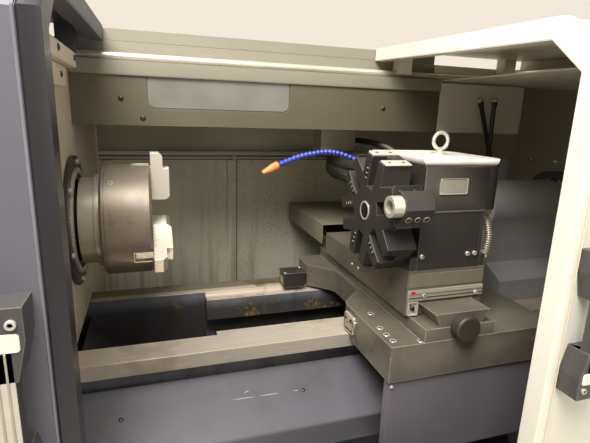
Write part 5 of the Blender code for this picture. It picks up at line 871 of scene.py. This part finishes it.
BLOCK_SCREW_RIM = [(0.0048, 0.0), (0.005, 0.0007), (0.0062, 0.0007), (0.0066, 0.0)]
JAW_SCREW_RIM = [(0.0066, 0.0), (0.0066, 0.0006), (0.0078, 0.0006), (0.0084, 0.0)]

# Screws, rings, caps and panels, by body and finish: the piece, a face, one shape and the places where it is set
SET_PIECES = {
    ("machine", bright_steel): [
        ("flange_ring", "right", ring_of(FLANGE_RING, 64), [(-0.4807, SPINDLE_Y, SPINDLE_Z)]),
        ("flange_bolts", "right", socket_screw(0.0065, 0.006), FLANGE_BOLTS),
        ("cabinet_hinges", "up", turned([(0.0055, 0.0), (0.007, 0.0015), (0.007, 0.0745), (0.0055, 0.076)], 24),
         [(-0.4435, 0.729, z) for z in (0.4, 0.84, 1.28)]),
        ("panel_screws", "front", dome_screw(0.0042, 0.0022),
         [(x, -0.7153, z) for x in (0.982, 1.238) for z in (0.962, 1.358)]),
        ("left_cover_screws", "left", dome_screw(0.006, 0.0022),
         [(-1.2727, y, z) for y in (-0.56, 0.36) for z in (0.18, 0.7, 1.2)]),
        ("right_cover_screws", "right", dome_screw(0.006, 0.0022),
         [(1.2727, y, z) for y in (-0.56, 0.36) for z in (0.18, 0.7, 1.2)]),
        ("tank_lid_screws", "up", dome_screw(0.006, 0.003),
         [(x, y, 0.38) for x in (-0.41, 0.07, 0.55) for y in (-0.42, 0.27)]),
        ("pedestal_cover_screws", "front", dome_screw(0.0058, 0.0028),
         [(x, -0.4226, z) for x in (0.735, 1.005, -1.105, -0.615) for z in (0.135, 0.485)]),
    ],
    ("machine", dark_steel): [
        ("beam_screws", "front", dome_screw(0.0065, 0.004),
         [(-0.382, -0.03, 1.401), (-0.3356, -0.03, 1.3571), (0.3, -0.03, 1.401)]),
        ("bracket_screws", "right", dome_screw(0.006, 0.0035), [
            (-0.455, -0.3498, 1.4692), (-0.455, -0.1827, 1.4692), (-0.468, -0.3872, 1.434), (-0.468, -0.2599, 1.434),
        ]),
    ],
    ("spindle", dark_steel): [
        ("chuck_groove", "right", ring_of(CHUCK_GROOVE, 96), [(-0.4195, SPINDLE_Y, SPINDLE_Z)]),
    ],
    ("spindle", bright_steel): [
        ("adapter_collar", "right", ring_of(ADAPTER_COLLAR, 96), [(-0.4385, SPINDLE_Y, SPINDLE_Z)]),
    ],
    ("turret", bright_steel): [("hub_ring", "left", ring_of(HUB_RING), [(0.108, TURRET_Y, TURRET_Z)])],
    ("turret", black_steel): [
        ("hub_cap", "left", turned([(0.016, 0.0), (0.016, 0.001), (0.014, 0.002), (0.004, 0.0026)]),
         [(0.108, TURRET_Y, TURRET_Z)]),
    ],
    ("cross_slide", pale_steel): [
        ("bare_nameplate", "front", tray_plate(0.067, 0.033, 0.002, 0.0016, 0.0014, 0.0009),
         [(0.2627, -0.4209, 1.2453)]),
    ],
    ("cross_slide", bright_steel): [
        ("nameplate_rivets", "front", dome_screw(0.0014, 0.0008, 12),
         [(0.2627 + dx, -0.4222, 1.2453 + dz) for dx in (-0.03, 0.03) for dz in (-0.013, 0.013)]),
        ("housing_foot_screws", "front", socket_screw(0.005, 0.004),
         [(x, -0.423, 1.1005) for x in (0.201, 0.3135, 0.3313)]),
        ("housing_top_screws", "up", dome_screw(0.0042, 0.0018),
         [(x, y, 1.299) for x in (0.216, 0.372) for y in (-0.398, -0.215)]),
        ("eyebolt_collar", "up", turned([(0.016, 0.0), (0.016, 0.003), (0.013, 0.0048), (0.008, 0.005)], 32),
         [(0.2985, -0.3035, 1.299)]),
        ("slide_wiper_screws", "front", socket_screw(0.0046, 0.003),
         [(0.214, -0.4273, 1.015), (0.345, -0.4273, 1.011)]),
        ("gib_plate", "front", tray_plate(0.024, 0.031, 0.002, 0.0026, 0.005, 0.0014), [(0.19, -0.423, 0.987)]),
        ("slide_side_screws", "left", dome_screw(0.0042, 0.0024),
         [(0.175, -0.1917, 0.9975), (0.175, -0.1553, 0.996)]),
    ],
    ("cross_slide", black_steel): [("gib_screw", "front", socket_screw(0.005, 0.0036), [(0.19, -0.4242, 0.987)])],
    ("carriage", bright_steel): [
        ("wing_screw_rims", "up", ring_of(WING_SCREW_RIM, 32), WING_SCREWS),
        ("way_switch_screws", "up", dome_screw(0.0036, 0.0018), [(0.042, 0.012, 0.9219), (0.098, 0.048, 0.9219)]),
        ("apron_screws", "front", dome_screw(0.005, 0.003),
         [(0.1219, -0.481, 0.8473), (0.51, -0.481, 0.8473), (0.13, -0.481, 0.684), (0.51, -0.481, 0.684)]),
    ],
    ("carriage", black_steel): [
        ("wing_screws", "up", socket_screw(0.0047, 0.0006), WING_SCREWS),
        ("way_wiper_screws", "left", socket_screw(0.0032, 0.002), [(0.1042, -0.315, 0.913), (0.1042, -0.287, 0.913)]),
    ],
    ("cabinet_door", cream_sheet): [
        ("cabinet_door_panel", "back", tray_plate(0.96, 1.11, 0.01, 0.004, 0.003, 0.0008),
         [(0.05, 0.7348, 0.875)]),
        ("cabinet_vents", "back", louvre(0.24, 0.014, 0.005),
         [(x, 0.7356, 0.4 + 0.028 * row) for x in (-0.18, 0.2) for row in range(5)]),
    ],
    ("cabinet_door", bright_steel): [
        ("cabinet_lock", "back", turned([(0.011, 0.0), (0.011, 0.006), (0.009, 0.0075), (0.004, 0.0075)], 32),
         [(0.505, 0.74, 0.905)]),
    ],
    ("cabinet_door", pale_steel): [
        ("cabinet_bare_plate", "back", tray_plate(0.08, 0.05, 0.003, 0.002, 0.0014, 0.0009),
         [(0.42, 0.7356, 1.3)]),
    ],
    ("machine", yellow_plastic): [
        ("stop_collar", "front", ring_of([(0.0145, 0.0), (0.0145, 0.0012), (0.0275, 0.0012), (0.0285, 0.0)]),
         [(1.205, -0.7153, 1.005)]),
    ],
    ("machine", grey_sheet): [
        ("left_cover_vents", "left", louvre(0.176, 0.016, 0.003),
         [(-1.2718, 0.0, 0.56 + 0.03 * row) for row in range(3)]),
    ],
    ("tailstock", bright_steel): [
        ("tailstock_bolts", "up", socket_screw(0.0065, 0.006), [(0.82, -0.145, 1.262), (0.82, -0.055, 1.262)]),
        ("quill_seal_ring", "left", ring_of([(0.04, 0.0), (0.04, 0.003), (0.052, 0.003), (0.0535, 0.0)]),
         [(0.6002, SPINDLE_Y, SPINDLE_Z)]),
    ],
    ("handwheel", bright_steel): [
        ("handwheel_cap", "right", turned([(0.018, 0.0), (0.018, 0.003), (0.012, 0.006), (0.003, 0.0065)], 32),
         [(0.9572, SPINDLE_Y, SPINDLE_Z)]),
    ],
    ("clamp_lever_1", bright_steel): [("lever_knob_1", "up", LEVER_KNOB, [(0.614, -0.0377, 1.425)])],
    ("clamp_lever_2", bright_steel): [("lever_knob_2", "up", LEVER_KNOB, [(0.638, -0.0723, 1.425)])],
}
for (body, finish), rows in SET_PIECES.items():
    for name, face, shape, places in rows:
        fit(name, body, finish, each(face, shape, places))


def dress_door(side, way, near, middle, grip, trim, bead):
    """A door's edge trim and bead, its window's gasket, and its handle's face, ribs, screws and pads."""
    body = side + "_door"
    wrap = [
        (0.0, -0.03), (0.0, 0.0012), (way * 0.003, 0.0026),
        (way * 0.019, 0.0026), (way * 0.022, 0.0), (way * 0.003, 0.0),
    ]
    fit(body + "_edge_trim", body, trim, along_door(near - way * 0.6 * MM, wrap))
    ridge = [(way * 0.0222, 0.0), (way * 0.0222, 0.0016), (way * 0.0238, 0.0022), (way * 0.0252, 0.0)]
    fit(body + "_edge_bead", body, bead, along_door(near, ridge))
    gasket = hollow_plate(rounded(0.318, 0.398, 0.049, 8), rounded(0.288, 0.368, 0.034, 8), 0.0052)
    window = (middle, DOOR_FRONT + 0.2 * MM, 1.17)
    fit(side + "_window_gasket", body, rubber, on("front", gasket, window), 1.6 * MM)
    face = plate("front", (grip, -0.7203, 1.0675), 0.0296, 0.166, 0.001, 0.003, 0.0004)
    fit(side + "_handle_face", body, bright_steel, face)
    rib = slab(rounded(0.0022, 0.15, 0.001, 4), 0.0016, 0.0005)
    ribs = each("front", rib, [(grip + shift, -0.7211, 1.0675) for shift in (-0.0085, 0.0, 0.0085)])
    fit(side + "_handle_ribs", body, pale_steel, ribs)
    heads = [(grip + shift, -0.7213, z) for z in (0.962, 1.173) for shift in (-0.017, 0.017)]
    fit(side + "_handle_screws", body, bright_steel, each("front", socket_screw(0.0052, 0.0035), heads))
    pad = slab(rounded(0.046, 0.02, 0.004), 0.0012)
    fit(side + "_handle_pads", body, cream_sheet, each("front", pad, [(grip, -0.7213, z) for z in (0.982, 1.153)]))


# The left door's edge trim is painted shade, and its bead a painted highlight.
dress_door("left", -1, -0.415, -0.6675, -0.476, door_edge_shade, door_edge_highlight)
dress_door("right", 1, 0.285, 0.5375, 0.338, cream_sheet, pale_cream)


def spokes(forward, rise):
    """A spoke's direction, so far forward and so far up, and the direction square to it, both across the spindle."""
    return np.array([0.0, -forward, rise]), np.array([0.0, rise, forward])


def dress_chuck():
    """The frames of the jaws' slots and the plugs on the rim, and each jaw's two screws, their rims and its scale."""
    centre = np.array([0.0, SPINDLE_Y, SPINDLE_Z])
    rail = slab(rounded(0.037, 0.0024, 0.0008, 3), 0.0014, 0.0004)
    end = slab(rounded(0.0024, 0.0302, 0.0008, 3), 0.0014, 0.0004)
    parts = [(rail[0] + [0.0, aside, 0.0], rail[1]) for aside in (-0.0139, 0.0139)]
    frame_of_slot = joined([*parts, (end[0] - [0.019, 0.0, 0.0], end[1])])
    frames, plugs = [], []
    for k in range(3):
        turn = 2 * math.pi * k / 3
        out, side = spokes(-math.sin(turn), math.cos(turn))
        frames.append(facing(frame_of_slot, centre - [0.345, 0.0, 0.0] + 0.1243 * out, out))
        between = spokes(-math.sin(turn + 1.4), math.cos(turn + 1.4))[0]
        plugs.append(facing(socket_screw(0.006, 0.0012), centre - [0.405, 0.0, 0.0] + 0.1246 * between, between))
        body = "jaw_%d" % (k + 1)
        places = [centre - [0.284, 0.0, 0.0] + radius * out for radius in (0.074, 0.1)]
        rims = [laid(ring_of(JAW_SCREW_RIM, 32), place, side, out) for place in places]
        fit(body + "_screw_rims", body, bright_steel, joined(rims))
        heads = [laid(socket_screw(0.0064, 0.0004), place, side, out) for place in places]
        fit(body + "_screws", body, black_steel, joined(heads))
        tooth = slab(rounded(0.003, 0.0016, 0.0006, 3), 0.0006, 0.0002)
        places = [centre - [0.3235, 0.0, 0.0] + (0.058 + 0.0095 * step) * out + 0.02 * side for step in range(9)]
        fit(body + "_scale", body, dark_steel, joined([facing(tooth, place, side) for place in places]))
    fit("chuck_slot_frames", "spindle", bright_steel, joined(frames))
    fit("chuck_plugs", "spindle", pale_steel, joined(plugs))


def dress_turret():
    """Clamp plates with their screws, marked strips on the disc's arms, and the tool block's screws and rims."""
    bright, dark, heads, ticks = [], [], [], []
    strip = slab(rounded(0.036, 0.0105, 0.0012), 0.001, 0.0003)
    tick = slab(rounded(0.0018, 0.0066, 0.0005, 3), 0.0004, 0.0001)
    for k in range(6):
        turn = math.radians(15 + 60 * k)
        out, side = spokes(math.cos(turn), math.sin(turn))
        hub = np.array([0.0, TURRET_Y, TURRET_Z])
        for aside, across in ((0.029, 0.024), (-0.028, 0.026)):
            shape = slab(rounded(0.058, across, 0.002), 0.0022)
            place = hub + 0.1174 * out + aside * side
            (bright if k == 1 else dark).append(facing(shape, place + [0.1405, 0.0, 0.0], out))
            for x in (0.125, 0.156):
                heads.append(facing(socket_screw(0.0034, 0.0008), place + 0.0022 * out + [x, 0.0, 0.0], out))
        if k:
            aside = 0.0215 if k < 3 else -0.0215
            dark.append(laid(strip, hub + 0.078 * out + aside * side + [0.1081, 0.0, 0.0], out, side))
            for reach in (0.067, 0.078, 0.089):
                ticks.append(laid(tick, hub + reach * out + aside * side + [0.1071, 0.0, 0.0], out, side))
    fit("clamp_plates_bright", "turret", jaw_steel, joined(bright))
    fit("clamp_plates", "turret", black_steel, joined(dark))
    fit("clamp_screws", "turret", black_steel, joined(heads))
    fit("strip_marks", "turret", jaw_steel, joined(ticks))
    lower, upper = (0, -0.866, -0.5), (0, -0.966, 0.259)
    places = [((x, -0.4849, 1.1955), lower) for x in (0.1225, 0.1415, 0.1605)]
    places += [((x, -0.4422, 1.2452), upper) for x in (0.124, 0.157)]
    fit("block_screws", "turret", black_steel, joined([facing(socket_screw(0.0046, 0.0012), *one) for one in places]))
    rims = [facing(ring_of(BLOCK_SCREW_RIM, 32), *one) for one in places]
    fit("block_screw_rims", "turret", pale_steel, joined(rims))


def dress_guard():
    """The sloping guard's bolts, a dark strip along its fold for the gap there and painted shadow in it, and the
    scratches that tools have left on it.
    """
    slope = (0, -0.46, 0.888)
    bolts = [facing(dome_screw(0.005, 0.0022), (x, -0.3464, 0.7773), slope) for x in (-0.0187, -0.4, 0.36)]
    fit("guard_bolts", "machine", dark_steel, joined(bolts))
    # Painted shadow: a dark rubber strip stands for the fold's gap and the shadow along it.
    gap = slab(rounded(0.955, 0.011, 0.001), 0.0008, 0.0002)
    fit("guard_gap_shadow", "machine", rubber, facing(gap, (-0.005, -0.4185, 0.7325), (0, -0.707, 0.707)))
    swell = np.sin(np.linspace(0.15, math.pi - 0.15, 8))
    marks = []
    for start, end in (
        ((-0.1782, -0.3431, 0.779), (-0.128, -0.3436, 0.7788)),
        ((-0.12, -0.344, 0.7786), (-0.0741, -0.3445, 0.7783)),
        ((-0.15, -0.333, 0.7842), (-0.138, -0.329, 0.7863)),
        ((-0.04, -0.3446, 0.7783), (-0.029, -0.3448, 0.7782)),
    ):
        marks.append(swept(np.linspace(start, end, 8), 0.6 * MM * swell, 8))
    fit("guard_scratches", "machine", pale_line, joined(marks))


def dress_rest():
    """The hoses' nuts, the beam's lip, the scalloped way wiper, the screen's frame and the pedestals' covers."""
    nut = skin(stack(hexagon(0.0125), [(0.0008, 0.0), (0.0, 0.0015), (0.0, 0.01), (0.0012, 0.0115)]))
    nuts = [on(face, nut, place) for face, place in (
        ("left", (0.1912, -0.195, 1.257)), ("right", (0.3655, -0.4, 1.085)), ("down", (0.374, -0.392, 1.1912)),
        ("right", (0.2672, 0.1, 1.305)), ("front", (0.326, -0.168, 1.261)),
    )]
    fit("hose_and_cable_nuts", "cross_slide", bright_steel, joined(nuts))
    lip = bent_sheet([(-0.0301, 1.4525), (-0.0335, 1.4527), (-0.0338, 1.456), (-0.0338, 1.4845)], 0.966, 0.0012)
    fit("beam_lip", "machine", beam_cream, on("right", lip, (-0.005, 0, 0)))
    edge = rounded(0.054, 0.046, 0.012, 10)
    edge = edge * (1 + 0.035 * np.cos(11 * np.arange(len(edge)) * 2 * math.pi / len(edge)))[:, None]
    fit("way_wiper", "carriage", bright_steel, on("left", slab(edge, 0.005, 0.0012), (0.1102, -0.3, 0.9035)))
    lip = slab(inset(edge, 0.006), 0.0012, 0.0004)
    fit("way_wiper_lip", "carriage", pale_steel, on("left", lip, (0.1052, -0.3, 0.9035)))
    border = hollow_plate(rounded(0.216, 0.166, 0.008), rounded(0.196, 0.146, 0.004), 0.004)
    fit("screen_frame", "machine", black_plastic, on("front", border, (1.11, -0.7153, 1.26)), 1.2 * MM)
    covers = [
        on("front", tray_plate(width, 0.38, 0.012, 0.004, 0.003, 0.001), (x, -0.4198, 0.31))
        for width, x in ((0.3, 0.87), (0.52, -0.86))
    ]
    fit("pedestal_covers", "machine", slate, joined(covers))


dress_chuck()
dress_turret()
dress_guard()
dress_rest()
